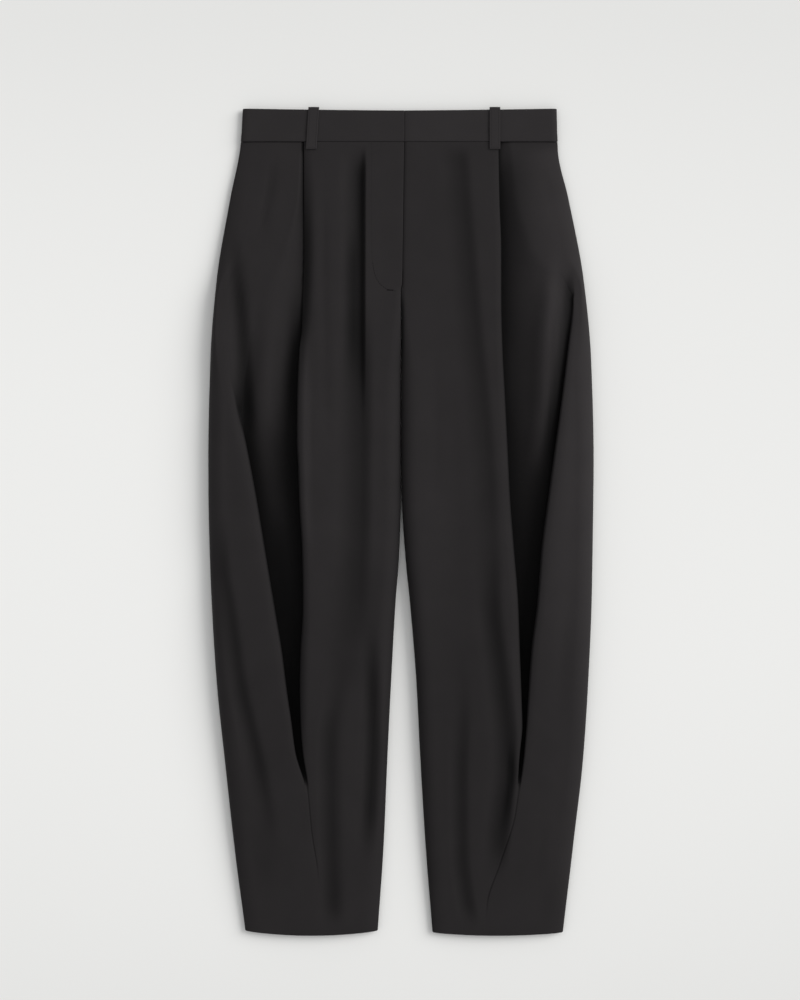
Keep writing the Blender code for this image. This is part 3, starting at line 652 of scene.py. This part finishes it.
def moved_in(path, distance):
    """The path moved to its left by a distance, which may differ from point to point, with mitred corners."""
    points = np.array(path, float)
    runs = np.diff(points, axis=0)
    runs /= np.maximum(np.linalg.norm(runs, axis=1), 1e-6)[:, None]
    lefts = np.stack([-runs[:, 1], runs[:, 0]], axis=1)
    before = np.vstack([lefts[:1], lefts])
    after = np.vstack([lefts, lefts[-1:]])
    mitres = before + after
    mitres /= np.maximum((mitres * before).sum(axis=1), MITRE_LEAST)[:, None]
    return points + np.broadcast_to(distance, len(points))[:, None] * mitres


def rim_drop(lengths):
    """How far the cloth's right side is rounded off at a distance from an edge."""
    return np.interp(lengths, [d for d, drop in RIM], [drop for d, drop in RIM])


def shade(leg, down, path):
    """The painted shade in the cloth's colour at a section's points: darker the less of the sky each one sees past its
    neighbours.
    """
    run = path[None, :, 0] - path[:, None, 0]
    rise = path[None, :, 1] - path[:, None, 1]
    steep = rise / np.maximum(np.abs(run), SHADE_LEAST)
    seen = 0.0
    for side in (1, -1):
        steepest = np.where(side * run > SHADE_LEAST, steep, 0.0).max(axis=1)
        seen = seen + 0.5 / np.sqrt(1 + steepest ** 2)
    hidden = ((np.abs(run) < HIDING_REACH) & (rise > HIDING_RISE)).any(axis=1)
    seen = np.where(hidden, HIDDEN_SEES * seen, seen)
    counted = np.ones(len(path))
    counted[:SIDE_STEPS] = 0.0
    counted[SIDE_STEPS:FOLD_FIRST] = np.linspace(0, 1, FOLD_FIRST - SIDE_STEPS)
    counted[-len(EDGE_SHARES):] = np.linspace(1, 0, len(EDGE_SHARES))
    # Painted shade at the calves, which are further from the light, and the creases' painted shade and light
    lit = (1 - CALF_PAINTED_SHADE * ramp(down, *CALF_SHADE_REACH)) * (1 - creased(FRONT_CREASES, leg, down, path[:, 0], "dark"))
    return lit * mixed(FOLD_DARK, 1, mixed(1, seen, counted) ** SHADE_POWER[leg])


def hem_shift(leg, down, across):
    """How far places near the hem lie above the hem's lowest level."""
    side = outline(leg, "side", down)
    inner = outline(leg, "inner", down)
    off_middle = (across - (side + inner) / 2) / ((side - inner) / 2)
    return HEM_BOW[leg] * ramp(down, HEM_BOW_START, LENGTH) * np.minimum(off_middle ** 2, 1.0)


def placed(leg, down, points):
    """Points (across, level) of a row, each with its own distance below the waist, in metres."""
    return np.stack([SIDE[leg] * points[:, 0], MIDDLE - down, points[:, 1]], axis=1) * METRE


def linked(name, data):
    """A new object, linked into the scene."""
    made = bpy.data.objects.new(name, data)
    bpy.context.scene.collection.objects.link(made)
    return made


def shell(name, outside, inside, cloth, painted_shading):
    """A closed shell between two grids of points, shaded smooth, with its places in the cloth and its painted shade and
    light.
    """
    rows, columns = outside.shape[:2]
    below = rows * columns
    grid = np.arange(below).reshape(rows, columns)
    corners = [grid[:-1, :-1], grid[:-1, 1:], grid[1:, 1:], grid[1:, :-1]]
    quads = np.stack([corner.ravel() for corner in corners], axis=1)
    edge = np.concatenate([grid[0, :-1], grid[:-1, -1], grid[-1, :0:-1], grid[:0:-1, 0]])
    around = np.stack([edge, edge + below, np.roll(edge, -1) + below, np.roll(edge, -1)], axis=1)
    verts = np.vstack([outside.reshape(-1, 3), inside.reshape(-1, 3)])
    mesh = bpy.data.meshes.new(name)
    mesh.from_pydata(verts.tolist(), [], np.vstack([quads, quads[:, ::-1] + below, around]).tolist())
    mesh.update()
    checked = bmesh.new()
    checked.from_mesh(mesh)
    bmesh.ops.recalc_face_normals(checked, faces=checked.faces)
    checked.to_mesh(mesh)
    checked.free()
    flat = np.zeros((below, 3))
    flat[:, :2] = cloth.reshape(-1, 2) * METRE
    mesh.attributes.new("cloth", "FLOAT_VECTOR", "POINT").data.foreach_set("vector", np.tile(flat.ravel(), 2))
    mesh.attributes.new("shade", "FLOAT", "POINT").data.foreach_set("value", np.tile(painted_shading.ravel(), 2))
    mesh.shade_smooth()
    mesh.set_sharp_from_angle(angle=math.radians(SHARP_ANGLE))
    return linked(name, mesh)


def kept_apart(sides, places, seam, side_of_path):
    """Keeps the ends of both sides of a row on their side of the seam."""
    keeper = max if side_of_path > 0 else min
    for side in sides:
        for place in places:
            side[place, 1] = keeper(side[place, 1], seam)


def hem_rows():
    """How the cloth turns up at the hem: each row's distance down, and how far in its two sides lie."""
    start = LENGTH - HEM_RADIUS - CLOTH
    outer = HEM_RADIUS + CLOTH
    rows = []
    for angle in (math.pi * step / HEM_TURN_STEPS for step in range(1, HEM_TURN_STEPS + 1)):
        rows.append((start + outer * math.sin(angle), outer - outer * math.cos(angle),
                     start + HEM_RADIUS * math.sin(angle), outer - HEM_RADIUS * math.cos(angle)))
    for step in range(1, HEM_STEPS + 1):
        down = start - HEM_DEPTH * step / HEM_STEPS
        rows.append((down, 2 * outer, down, 2 * HEM_RADIUS + CLOTH))
    return rows


def panel(name, leg, section, hem_section, side_of_path, pitches, anchor):
    """A leg's panel, lofted from the waist seam to the hem, where it turns up inside.

    anchor is the share of a row's points at which the cloth's grain runs straight down.
    """
    start = BAND_DEPTH + SEAM_GAP
    end = LENGTH - HEM_RADIUS - CLOTH
    downs = [start + row for row in EDGE_ROWS]
    for until, pitch in pitches:
        count = math.ceil((min(until, end) - downs[-1]) / pitch)
        downs += np.linspace(downs[-1], min(until, end), count + 1)[1:].tolist()
    layers = [(down, 0.0, down, CLOTH) for down in downs] + hem_rows()
    outside, inside, cloth, painted_shading = [], [], [], []
    length = 0.0
    for place, (down, depth, inner_down, inner_depth) in enumerate(layers):
        cut = hem_section if depth else section
        path = cut(leg, down)
        lengths = arc_lengths(path)
        rim = np.maximum(rim_drop(lengths), rim_drop(lengths[-1] - lengths))
        rim = np.maximum(rim, rim_drop(max(down - start, 0.0)))
        out = moved_in(path, side_of_path * (depth + rim))
        inn = moved_in(cut(leg, inner_down), side_of_path * inner_depth)
        kept_apart((out, inn), (0, 1, -2, -1), height("seam", down) + side_of_path * SEAM_GAP / 2, side_of_path)
        outside.append(placed(leg, down - hem_shift(leg, down, path[:, 0]), out))
        inside.append(placed(leg, inner_down - hem_shift(leg, inner_down, path[:, 0]), inn))
        if place:
            length += abs(down - layers[place - 1][0]) + abs(depth - layers[place - 1][1])
        across = SIDE[leg] * (lengths - lengths[int(anchor * (len(path) - 1))])
        cloth.append(np.stack([across, np.full(len(path), length)], axis=1))
        # Painted shade and light on the fronts above the hem; the backs and the hem keep the cloth's own colour
        painted_shading.append(shade(leg, down, path) if side_of_path > 0 and depth == 0.0 else np.ones(len(path)))
    return shell(name, np.array(outside), np.array(inside), np.array(cloth), np.array(painted_shading))


# Where the waistband's rows lie, and how far its edges are rounded off there; the steps over its rounded side
BAND_EDGES = ((0.0, 1.0), (0.12, 0.62), (0.35, 0.3), (0.75, 0.1), (1.3, 0.0))
BAND_FOOT = ((38.9, 0.03), (39.4, 0.14), (39.8, 0.36), (40.0, 0.6))
BAND_PITCH = 1.7
BAND_SIDE_STEPS = 10

# Soft hollows across the waistband's front: leg, across, reach and depth; its painted light, which makes it a little
# lighter than the legs', more on the wearer's left; the ridge of its seam allowance; and the step down to the end that
# lies under the lap
BAND_HOLLOWS = [
    ("right", 26, 20, 0.25), ("right", 74, 26, 0.4), ("right", 152, 24, 0.35), ("left", 22, 16, 0.3),
    ("left", 70, 30, 0.35), ("left", 148, 26, 0.4),
]
BAND_PAINTED_LIGHT = {"right": 1.09, "left": 1.2}
ALLOWANCE_ROWS = (30.5, 32.0)
ALLOWANCE_RISE = 0.16
LAP_STEP = 0.55
LAP_REACH = 7.0


def band_dip(across):
    """How far the waist's top edge lies below its ends."""
    return BAND_DIP * (1 - np.minimum(np.abs(across) / OUTLINE["right"][0][1], 1.0) ** 1.5)


def band_relief(leg, down, across):
    """How far the soft hollows and the seam allowance's ridge lower the waistband's right side."""
    total = np.zeros(len(across))
    for of_leg, middle, reach, depth in BAND_HOLLOWS:
        if of_leg == leg:
            total += depth * bell((across - middle) / reach) * math.sin(math.pi * min(down / BAND_DEPTH, 1.0)) ** 2
    return total - ALLOWANCE_RISE * ramp(down, *ALLOWANCE_ROWS)


def band_rows():
    """Each row's distance below the waist and how far the wall's edges are rounded off there."""
    first, last = BAND_EDGES[-1][0], BAND_FOOT[0][0]
    count = round((last - first) / BAND_PITCH)
    return [*BAND_EDGES, *((first + (last - first) * i / count, 0.0) for i in range(1, count)), *BAND_FOOT]


def band_grids(leg, path_at, side_of_path, closed_end):
    """The two grids of a piece of the waistband, with their places in the cloth."""
    outside, inside, cloth = [], [], []
    seam = (BAND_TOP + BACK_RAISE + side_of_path * SEAM_GAP) / 2
    for down, pinch in band_rows():
        path = np.array(path_at(outline(leg, "side", down), seam))
        lengths = arc_lengths(path)
        rim = rim_drop(lengths)
        if closed_end:
            rim = np.maximum(rim, rim_drop(lengths[-1] - lengths))
        relief = band_relief(leg, down, path[:, 0]) if side_of_path > 0 else 0.0
        out = moved_in(path, side_of_path * (np.maximum(rim, pinch) + relief))
        inn = moved_in(path, side_of_path * (BAND_WALL - pinch))
        kept_apart((out, inn), range(4), seam, side_of_path)
        dipped = down + band_dip(path[:, 0]) * (1 - down / BAND_DEPTH)
        outside.append(placed(leg, dipped, out))
        inside.append(placed(leg, dipped, inn))
        cloth.append(np.stack([np.full(len(path), down), SIDE[leg] * path[:, 0]], axis=1))
    return np.array(outside), np.array(inside), np.array(cloth)


def band_front(name, leg, end, stops=70):
    """One half of the waistband's front, from the side to its end at the fly."""

    def path_at(side, seam):
        start = side - BAND_ROUNDING
        shares = [i / stops for i in range(1, stops)] + [1 - row / start for row in EDGE_ROWS[::-1]]
        along = [mixed(start, end, share) for share in shares]
        under = LAP_STEP if leg == "left" else 0.0
        levels = [BAND_TOP - under * ramp(end + LAP_REACH - across, 0, LAP_REACH) for across in along]
        return side_edge(side, seam, BAND_TOP, BAND_ROUNDING, BAND_SIDE_STEPS) + list(zip(along, levels))

    outside, inside, cloth = band_grids(leg, path_at, 1, True)
    return shell(name, outside, inside, cloth, np.full(outside.shape[:2], BAND_PAINTED_LIGHT[leg]))


def band_back(name, stops=44):
    """The waistband's back, in one piece from side to side."""

    def path_at(side, seam):
        start = side - BAND_ROUNDING
        along = [(start * (1 - i / stops), BACK_RAISE) for i in range(1, stops + 1)]
        return side_edge(side, seam, BACK_RAISE, BAND_ROUNDING, BAND_SIDE_STEPS) + along

    halves = [band_grids(leg, path_at, -1, False) for leg in ("right", "left")]
    outside, inside, cloth = (np.concatenate([right, left[:, -2::-1]], axis=1) for right, left in zip(*halves))
    return shell(name, outside, inside, cloth, np.ones(outside.shape[:2]))


# A belt loop's stitched edges: how far in each row of stitches lies, how deep and how wide it draws the cloth in and
# how deep its thread lies; how far the loop bows out, its columns, which crowd at its edges, its rows, and the painted
# light that makes it lighter
LOOP_STITCH_IN = 2.0
LOOP_STITCH_DEPTH = 0.14
LOOP_STITCH_REACH = 0.8
LOOP_STITCH_SINK = 0.04
LOOP_BOW = 0.35
LOOP_COLUMNS = 27
LOOP_CROWDING = 0.7
LOOP_ROWS = 30
LOOP_TURN_ROWS = 8
LOOP_TOP_ROWS = 3
LOOP_PAINTED_LIGHT = 1.28


def loop_path(outward):
    """A belt loop's outer side from its foot up and over the waist's top edge: points (down, level)."""
    face = BAND_TOP if outward > 0 else BACK_RAISE
    far = face + outward * (SEAM_GAP + LOOP_WALL)
    foot = LOOP_LENGTH - LOOP_RISE
    top = LOOP_TURN if outward > 0 else BACK_LOOP_TOP + EDGE_ROWS[-1]
    downs = [foot - row for row in EDGE_ROWS]
    downs += np.linspace(downs[-1], top, LOOP_ROWS + 1)[1:].tolist()
    bow = LOOP_BOW if outward > 0 else 0.0
    points = [(down, far + bow * math.sin(math.pi * (foot - down) / (foot - top)) ** 2) for down in downs]
    if outward < 0:
        return np.array([*points, *((BACK_LOOP_TOP + row, far) for row in EDGE_ROWS[-2::-1])])
    for angle in (math.pi / 2 * step / LOOP_TURN_ROWS for step in range(1, LOOP_TURN_ROWS + 1)):
        down = LOOP_TURN - (LOOP_TURN + LOOP_RISE) * math.sin(angle)
        points.append((down, far - LOOP_TURN * (1 - math.cos(angle))))
    shares = [step / LOOP_TOP_ROWS for step in range(1, LOOP_TOP_ROWS + 1)]
    return np.array(points + [(-LOOP_RISE, mixed(far, face, share) - LOOP_TURN) for share in shares])


def belt_loop(name, leg, top_across, foot_across, outward):
    """A flat strap over the waistband: it turns over the top edge and ends below the seam, both edges stitched."""
    path = loop_path(outward)
    lengths = arc_lengths(path)
    ends = rim_drop(lengths if outward > 0 else np.minimum(lengths, lengths[-1] - lengths))
    even = np.linspace(0, 1, LOOP_COLUMNS)
    offsets = (mixed(even, 0.5 - 0.5 * np.cos(np.pi * even), LOOP_CROWDING) - 0.5) * LOOP_WIDTH
    from_edge = LOOP_WIDTH / 2 - np.abs(offsets)
    drawn = LOOP_STITCH_DEPTH * np.clip(1 - np.abs(from_edge - LOOP_STITCH_IN) / LOOP_STITCH_REACH, 0, 1)
    outside, inside, cloth = [], [], []
    for offset, drop, groove in zip(offsets, rim_drop(from_edge), drawn):
        out = moved_in(path, outward * (np.maximum(ends, drop) + groove))
        inn = moved_in(path, outward * (LOOP_WALL - drop))
        for side, grid in ((out, outside), (inn, inside)):
            across = mixed(top_across, foot_across, side[:, 0] / (LOOP_LENGTH - LOOP_RISE)) + offset
            grid.append(placed(leg, side[:, 0], np.stack([across, side[:, 1]], axis=1)))
        cloth.append(np.stack([np.full(len(path), offset), path[:, 0]], axis=1))
    outside = np.array(outside)
    return shell(name, outside, np.array(inside), np.array(cloth), np.full(outside.shape[:2], LOOP_PAINTED_LIGHT))


# A sewing thread's stitches: their length, the gap between them, the thread's radius, also where it is drawn in
# tighter, how deep they lie, and their rings: each one's share of the length, its size and its lift
STITCH_LENGTH = 2.4
STITCH_GAP = 0.55
STITCH_PITCH = STITCH_LENGTH + STITCH_GAP
THREAD_RADIUS = 0.17
TIGHT_THREAD_RADIUS = 0.24
STITCH_SINK = 0.1
STITCH_SIDES = 6
STITCH_RINGS = ((0.0, 0.35, -1.0), (0.12, 0.9, 0.1), (0.5, 1.0, 0.5), (0.88, 0.9, 0.1), (1.0, 0.35, -1.0))

# A bartack: its length, its width, the number of its turns and how far each one slants
BARTACK_LENGTH = 8.0
BARTACK_WIDTH = 1.5
BARTACK_TURNS = 13
BARTACK_SLANT = 0.7

UP = np.array([0.0, 0.0, 1.0])


def front_level(leg, down, across):
    """The height of a front's inner part at a place."""
    path = front_section(leg, down)[FOLD_LAST:]
    return float(np.interp(-across, -path[:, 0], path[:, 1]))


def stitch_mesh(built, start, end, up, radius):
    """A stitch from one point to another: a short thread whose ends dip into the cloth."""
    heading = end - start
    length = float(np.linalg.norm(heading))
    heading = heading / length
    side = np.cross(up, heading)
    side /= np.linalg.norm(side)
    rings = []
    for share, size, lift in STITCH_RINGS:
        middle = start + heading * length * share + up * radius * lift * METRE
        ring = []
        for step in range(STITCH_SIDES):
            angle = 2 * math.pi * step / STITCH_SIDES
            round_it = side * math.cos(angle) + up * math.sin(angle)
            ring.append(built.verts.new(middle + round_it * radius * size * METRE))
        rings.append(ring)
    for first, second in zip(rings, rings[1:]):
        for k in range(STITCH_SIDES):
            after = (k + 1) % STITCH_SIDES
            built.faces.new((first[k], first[after], second[after], second[k]))
    built.faces.new(rings[0][::-1])
    built.faces.new(rings[-1])


def stitched(name, stitches, radius=THREAD_RADIUS):
    """One mesh of many stitches, each given by its start, its end and the way up from the cloth."""
    built = bmesh.new()
    for start, end, up in stitches:
        stitch_mesh(built, start, end, up, radius)
    bmesh.ops.recalc_face_normals(built, faces=built.faces)
    mesh = bpy.data.meshes.new(name)
    built.to_mesh(mesh)
    built.free()
    mesh.shade_smooth()
    return linked(name, mesh)


def spot(leg, down, across, level):
    """One place, in metres."""
    return placed(leg, np.array([down]), np.array([[across, level]]))[0]


def on_front(leg, down, across):
    """A place on a front's inner part, just in the cloth."""
    return spot(leg, down, across, front_level(leg, down, across) - STITCH_SINK)


def bartack(spot_at, down, across, length):
    """A bartack's stitches, to and fro along its length; spot_at gives the spot of a (down, across)."""
    ends = (down - BARTACK_WIDTH / 2, down + BARTACK_WIDTH / 2)
    for turn in range(BARTACK_TURNS):
        start = across + length * (turn / BARTACK_TURNS - 0.5)
        end = across + length * ((turn + BARTACK_SLANT) / BARTACK_TURNS - 0.5)
        yield spot_at(ends[turn % 2], start), spot_at(ends[1 - turn % 2], end)


def fly_stitches():
    """The fly's straight row of stitches, and its curve with the bartack at its foot, which are drawn in tighter and
    darkened with painted shade.
    """

    def on_right(down, across):
        return on_front("right", down, across)

    straight, curve = [], []
    points = along_route(FLY_ROUTE, STITCH_PITCH)
    for here, after in zip(points, points[1:]):
        end = mixed(here, after, STITCH_LENGTH / STITCH_PITCH)
        row = straight if here[0] < FLY_CURVE_START else curve
        row.append((on_right(*here), on_right(*end), UP))
    curve += [(start, end, UP) for start, end in bartack(on_right, *FLY_ROUTE[-2], BARTACK_LENGTH)]
    return straight, curve


# Each belt loop's place across at the waist's top edge and at its foot
FRONT_LOOPS = {"right": (105.5, 108.5), "left": (113.5, 113.5)}
BACK_LOOP = 96.0
LOOPS = {
    "belt_loop_front_right": ("right", *FRONT_LOOPS["right"], 1),
    "belt_loop_front_left": ("left", *FRONT_LOOPS["left"], 1),
    "belt_loop_back_right": ("right", BACK_LOOP, BACK_LOOP, -1),
    "belt_loop_back_left": ("left", BACK_LOOP, BACK_LOOP, -1),
    "belt_loop_back_centre": ("left", 0.0, 0.0, -1),
}
TACK_IN = 2.2


def loop_stitches():
    """Two rows of stitches and a bartack on each belt loop."""
    stitches = []
    foot = LOOP_LENGTH - LOOP_RISE
    aside = LOOP_WIDTH / 2 - LOOP_STITCH_IN
    for leg, top_across, foot_across, outward in LOOPS.values():
        path = loop_path(outward)[:len(EDGE_ROWS) + LOOP_ROWS + 1]

        def on_loop(down, offset):
            level = np.interp(-down, -path[:, 0], path[:, 1]) - outward * (LOOP_STITCH_DEPTH + LOOP_STITCH_SINK)
            return spot(leg, down, mixed(top_across, foot_across, down / foot) + offset, level)

        made = []
        for offset in (-aside, aside):
            for step in range(int((foot - TACK_IN - LOOP_TURN) / STITCH_PITCH)):
                down = LOOP_TURN + STITCH_PITCH * step
                made.append((on_loop(down, offset), on_loop(down + STITCH_LENGTH, offset)))
        made += bartack(on_loop, foot - TACK_IN, 0.0, 2 * aside)
        stitches += [(start, end, UP * outward) for start, end in made]
    return stitches


# The cloth's and the threads' colours, the fly curve's thread darkened with painted shade for its drawn-in groove, and
# the twill's measures
CHARCOAL = (0.0212, 0.0192, 0.0198)
THREAD_COLOUR = (0.0165, 0.015, 0.0155)
PAINTED_SHADE_THREAD_COLOUR = (0.0045, 0.004, 0.0042)
TWILL_PERIOD = 0.62
TWILL_ANGLE = 58.0
YARN_PERIOD = 0.31
WAVE_UNIT = math.pi / 10


def node(tree, kind, **settings):
    """A new node with its settings, of which those that name an input set its value."""
    made = tree.nodes.new(kind)
    for name, value in settings.items():
        if name in made.inputs:
            made.inputs[name].default_value = value
        else:
            setattr(made, name, value)
    return made


def math_node(tree, operation, first, second):
    """A Math node on two values, each a socket or a number."""
    made = node(tree, "ShaderNodeMath", operation=operation)
    for place, value in enumerate((first, second)):
        if isinstance(value, (int, float)):
            made.inputs[place].default_value = value
        else:
            tree.links.new(value, made.inputs[place])
    return made.outputs[0]


def summed(tree, base, *parts):
    """A number and some sockets, each times its weight, added up."""
    for socket, weight in parts:
        base = math_node(tree, "ADD", math_node(tree, "MULTIPLY", socket, weight), base)
    return base


def noise(tree, place, **settings):
    """A noise's value at a place."""
    made = node(tree, "ShaderNodeTexNoise", **settings)
    tree.links.new(place, made.inputs["Vector"])
    return made.outputs["Fac"]


def new_material(name, **inputs):
    """A new material with its node tree and its shader, some of whose inputs are given, with _ for a space."""
    material = bpy.data.materials.new(name)
    material.use_nodes = True
    tree = material.node_tree
    shader = tree.nodes["Principled BSDF"]
    for of, value in inputs.items():
        shader.inputs[of.replace("_", " ")].default_value = value
    return material, tree, shader


def coloured(tree, shader, colour, tone):
    """Gives the shader a colour times a tone."""
    scaled = node(tree, "ShaderNodeVectorMath", operation="SCALE", Vector=colour)
    tree.links.new(tone, scaled.inputs["Scale"])
    tree.links.new(scaled.outputs[0], shader.inputs["Base Color"])


def cloth_material(name, roughness, crumple):
    """Fine worsted: a twill of dull charcoal yarns, mottled a little, with painted shade deep in the folds and painted
    light.
    """
    material, tree, shader = new_material(name, Roughness=roughness, Specular_IOR_Level=0.08, Sheen_Weight=0.05,
                                          Sheen_Roughness=0.45, Sheen_Tint=(0.6, 0.58, 0.6, 1.0))
    links = tree.links
    place = node(tree, "ShaderNodeAttribute", attribute_name="cloth")
    in_mm = node(tree, "ShaderNodeVectorMath", operation="SCALE", Scale=1000.0)
    links.new(place.outputs["Vector"], in_mm.inputs[0])

    def bands(angle, period, distortion):
        turned = node(tree, "ShaderNodeMapping", vector_type="POINT", Rotation=(0.0, 0.0, math.radians(angle)))
        links.new(in_mm.outputs[0], turned.inputs["Vector"])
        made = node(tree, "ShaderNodeTexWave", wave_type="BANDS", bands_direction="X", wave_profile="SIN",
                    Scale=WAVE_UNIT / period, Distortion=distortion, **{"Detail Scale": 1.5})
        links.new(turned.outputs[0], made.inputs["Vector"])
        return made.outputs["Fac"]

    mottle = noise(tree, in_mm.outputs[0], Scale=0.42, Detail=4.0, Roughness=0.6)
    drift = noise(tree, in_mm.outputs[0], Scale=0.02, Detail=2.0, Roughness=0.5)
    diagonal = bands(TWILL_ANGLE, TWILL_PERIOD, distortion=0.7)
    yarn = bands(0.0, YARN_PERIOD, distortion=0.5)
    tone = summed(tree, 0.74, (mottle, 0.16), (drift, 0.22), (diagonal, 0.14))
    # Painted shade and light: the cloth's colour times each point's shade
    shaded = node(tree, "ShaderNodeAttribute", attribute_name="shade")
    coloured(tree, shader, CHARCOAL, math_node(tree, "MULTIPLY", tone, shaded.outputs["Fac"]))

    weave_bump = node(tree, "ShaderNodeBump", Strength=0.6, Distance=0.00012)
    links.new(summed(tree, 0.0, (diagonal, 0.7), (yarn, 0.3)), weave_bump.inputs["Height"])
    crumpled = noise(tree, in_mm.outputs[0], Scale=0.055, Detail=3.0, Roughness=0.45)
    crumple_bump = node(tree, "ShaderNodeBump", Strength=crumple, Distance=0.0006)
    links.new(crumpled, crumple_bump.inputs["Height"])
    links.new(weave_bump.outputs[0], crumple_bump.inputs["Normal"])
    links.new(crumple_bump.outputs[0], shader.inputs["Normal"])
    return material


def thread_material(name, strand_colour):
    """Spun thread: a twisted charcoal strand."""
    material, tree, shader = new_material(name, Roughness=0.85, Specular_IOR_Level=0.05)
    place = node(tree, "ShaderNodeTexCoord")
    twist = noise(tree, place.outputs["Object"], Scale=3000.0, Detail=2.0)
    coloured(tree, shader, strand_colour, summed(tree, 0.75, (twist, 0.5)))
    return material


def declared(piece, slot, material, node_name=None, **sheet):
    """Gives a piece its material and its body, and hides the node that it replaces."""
    piece.data.materials.append(material)
    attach(piece, "root")
    if node_name:
        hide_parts(node_name)


front_cloth = cloth_material("front_worsted", roughness=0.7, crumple=0.25)
back_cloth = cloth_material("back_worsted", roughness=0.7, crumple=0.25)
band_cloth = cloth_material("waistband_worsted", roughness=0.68, crumple=0.12)
loop_cloth = cloth_material("belt_loop_worsted", roughness=0.68, crumple=0.05)
thread = thread_material("thread", THREAD_COLOUR)
# The thread of the fly's curve: its own colour darkened with painted shade for the groove it draws in
painted_shade_thread = thread_material("painted_shade_thread", PAINTED_SHADE_THREAD_COLOUR)

# The share of a section's points at which the grain runs straight down: a front's pleat, and a back's middle
FRONT_GRAIN = 0.72
BACK_GRAIN = 0.5

for leg in SIDE:
    front = panel(f"front_panel_{leg}", leg, front_section, front_hem_section, 1, FRONT_PITCH, FRONT_GRAIN)
    declared(front, "front_cloth", front_cloth, f"front_{leg}",
             flat=(0.32, 0.995), held="laid", area=0.25, rests_on=[f"back_{leg}"])
    back = panel(f"back_panel_{leg}", leg, back_section, back_section, -1, BACK_PITCH, BACK_GRAIN)
    declared(back, "back_cloth", back_cloth, f"back_{leg}",
             flat=(0.25, 0.995), held="laid", area=0.2, rests_on=["floor"])

for leg, end in (("right", -CLOSURE_EDGE), ("left", CLOSURE_EDGE + SEAM_GAP)):
    band = band_front(f"waistband_front_half_{leg}", leg, end)
    declared(band, "waistband_cloth", band_cloth, f"waistband_front_{leg}",
             flat=(0.195, BAND_DEPTH * METRE), held="folded")
band = band_back("waistband_back_whole")
declared(band, "waistband_cloth", band_cloth, "waistband_back", flat=(0.39, BAND_DEPTH * METRE), held="folded")

for name, (leg, top_across, foot_across, outward) in LOOPS.items():
    strap = belt_loop(f"{name}_strap", leg, top_across, foot_across, outward)
    declared(strap, "belt_loop_cloth", loop_cloth, name, flat=(LOOP_WIDTH * METRE, 0.056), held="folded")

fly_row, fly_curve = fly_stitches()
declared(stitched("fly_stitching", fly_row), "front_cloth", thread)
declared(stitched("fly_curve_stitching", fly_curve, TIGHT_THREAD_RADIUS), "front_cloth", painted_shade_thread)
declared(stitched("belt_loop_stitching", loop_stitches()), "belt_loop_cloth", thread)

# The floor, just below the trousers, its colour, and how much lighter a painted pool of light makes it around them and
# how far that reaches
FLOOR_SIZE = 9.0
FLOOR_DROP = 0.0004
PALE = (0.80, 0.80, 0.785)
PAINTED_POOL_OF_LIGHT = 0.095
PAINTED_POOL_REACH = (2.2, 0.62, 1.0)


def pale_floor():
    """A wide plain pale floor with a faint unevenness of tone and a painted pool of light around the trousers."""
    mesh = bpy.data.meshes.new("floor")
    half = FLOOR_SIZE / 2
    corners = [(half * x, half * y, -FLOOR_DROP) for x, y in ((-1, -1), (1, -1), (1, 1), (-1, 1))]
    mesh.from_pydata(corners, [], [(0, 1, 2, 3)])
    material, tree, shader = new_material("pale_floor", Roughness=0.9, Specular_IOR_Level=0.1)
    place = node(tree, "ShaderNodeTexCoord").outputs["Object"]
    tone = summed(tree, 0.985 + PAINTED_POOL_OF_LIGHT, (noise(tree, place, Scale=1.4, Detail=1.0), 0.03))
    reach = node(tree, "ShaderNodeVectorMath", operation="DIVIDE")
    tree.links.new(place, reach.inputs[0])
    reach.inputs[1].default_value = PAINTED_POOL_REACH
    far = node(tree, "ShaderNodeVectorMath", operation="DOT_PRODUCT")
    for socket in (0, 1):
        tree.links.new(reach.outputs[0], far.inputs[socket])
    # Painted pool of light: the floor's tone falls off outside it
    darker = math_node(tree, "MULTIPLY", math_node(tree, "MINIMUM", far.outputs["Value"], 1.0), PAINTED_POOL_OF_LIGHT)
    coloured(tree, shader, PALE, math_node(tree, "SUBTRACT", tone, darker))
    mesh.materials.append(material)
    return linked("floor", mesh)


def low_sun(name, elevation, azimuth, spread, strength, colour):
    """A broad soft light from far away, at an elevation and an azimuth from +X towards +Y, in degrees."""
    data = bpy.data.lights.new(name, "SUN")
    data.angle = math.radians(spread)
    data.energy = strength
    data.color = colour
    linked(name, data).rotation_euler = (0.0, math.radians(90 - elevation), math.radians(azimuth))


pale_floor()
low_sun("key", elevation=31.0, azimuth=22.0, spread=40.0, strength=2.3, colour=(1.0, 0.995, 0.985))

world = bpy.data.worlds.new("studio")
bpy.context.scene.world = world
world.use_nodes = True
sky = world.node_tree.nodes["Background"]
sky.inputs["Color"].default_value = (0.985, 0.99, 1.0, 1.0)
sky.inputs["Strength"].default_value = 0.6
bpy.context.scene.view_settings.view_transform = "Standard"

# The camera looks straight down. Its picture is 1000 px high, on which the garment's 1000 mm take 825 px.
CAMERA_HEIGHT = 2.862
CAMERA_PLACE = (-0.0012, 0.0258)
LENS_LENGTH = 85.0
SENSOR_WIDTH = 36.0
lens = bpy.data.cameras.new("camera")
lens.lens = LENS_LENGTH
lens.sensor_width = SENSOR_WIDTH
camera = linked("camera", lens)
camera.location = (*CAMERA_PLACE, CAMERA_HEIGHT)
bpy.context.scene.camera = camera
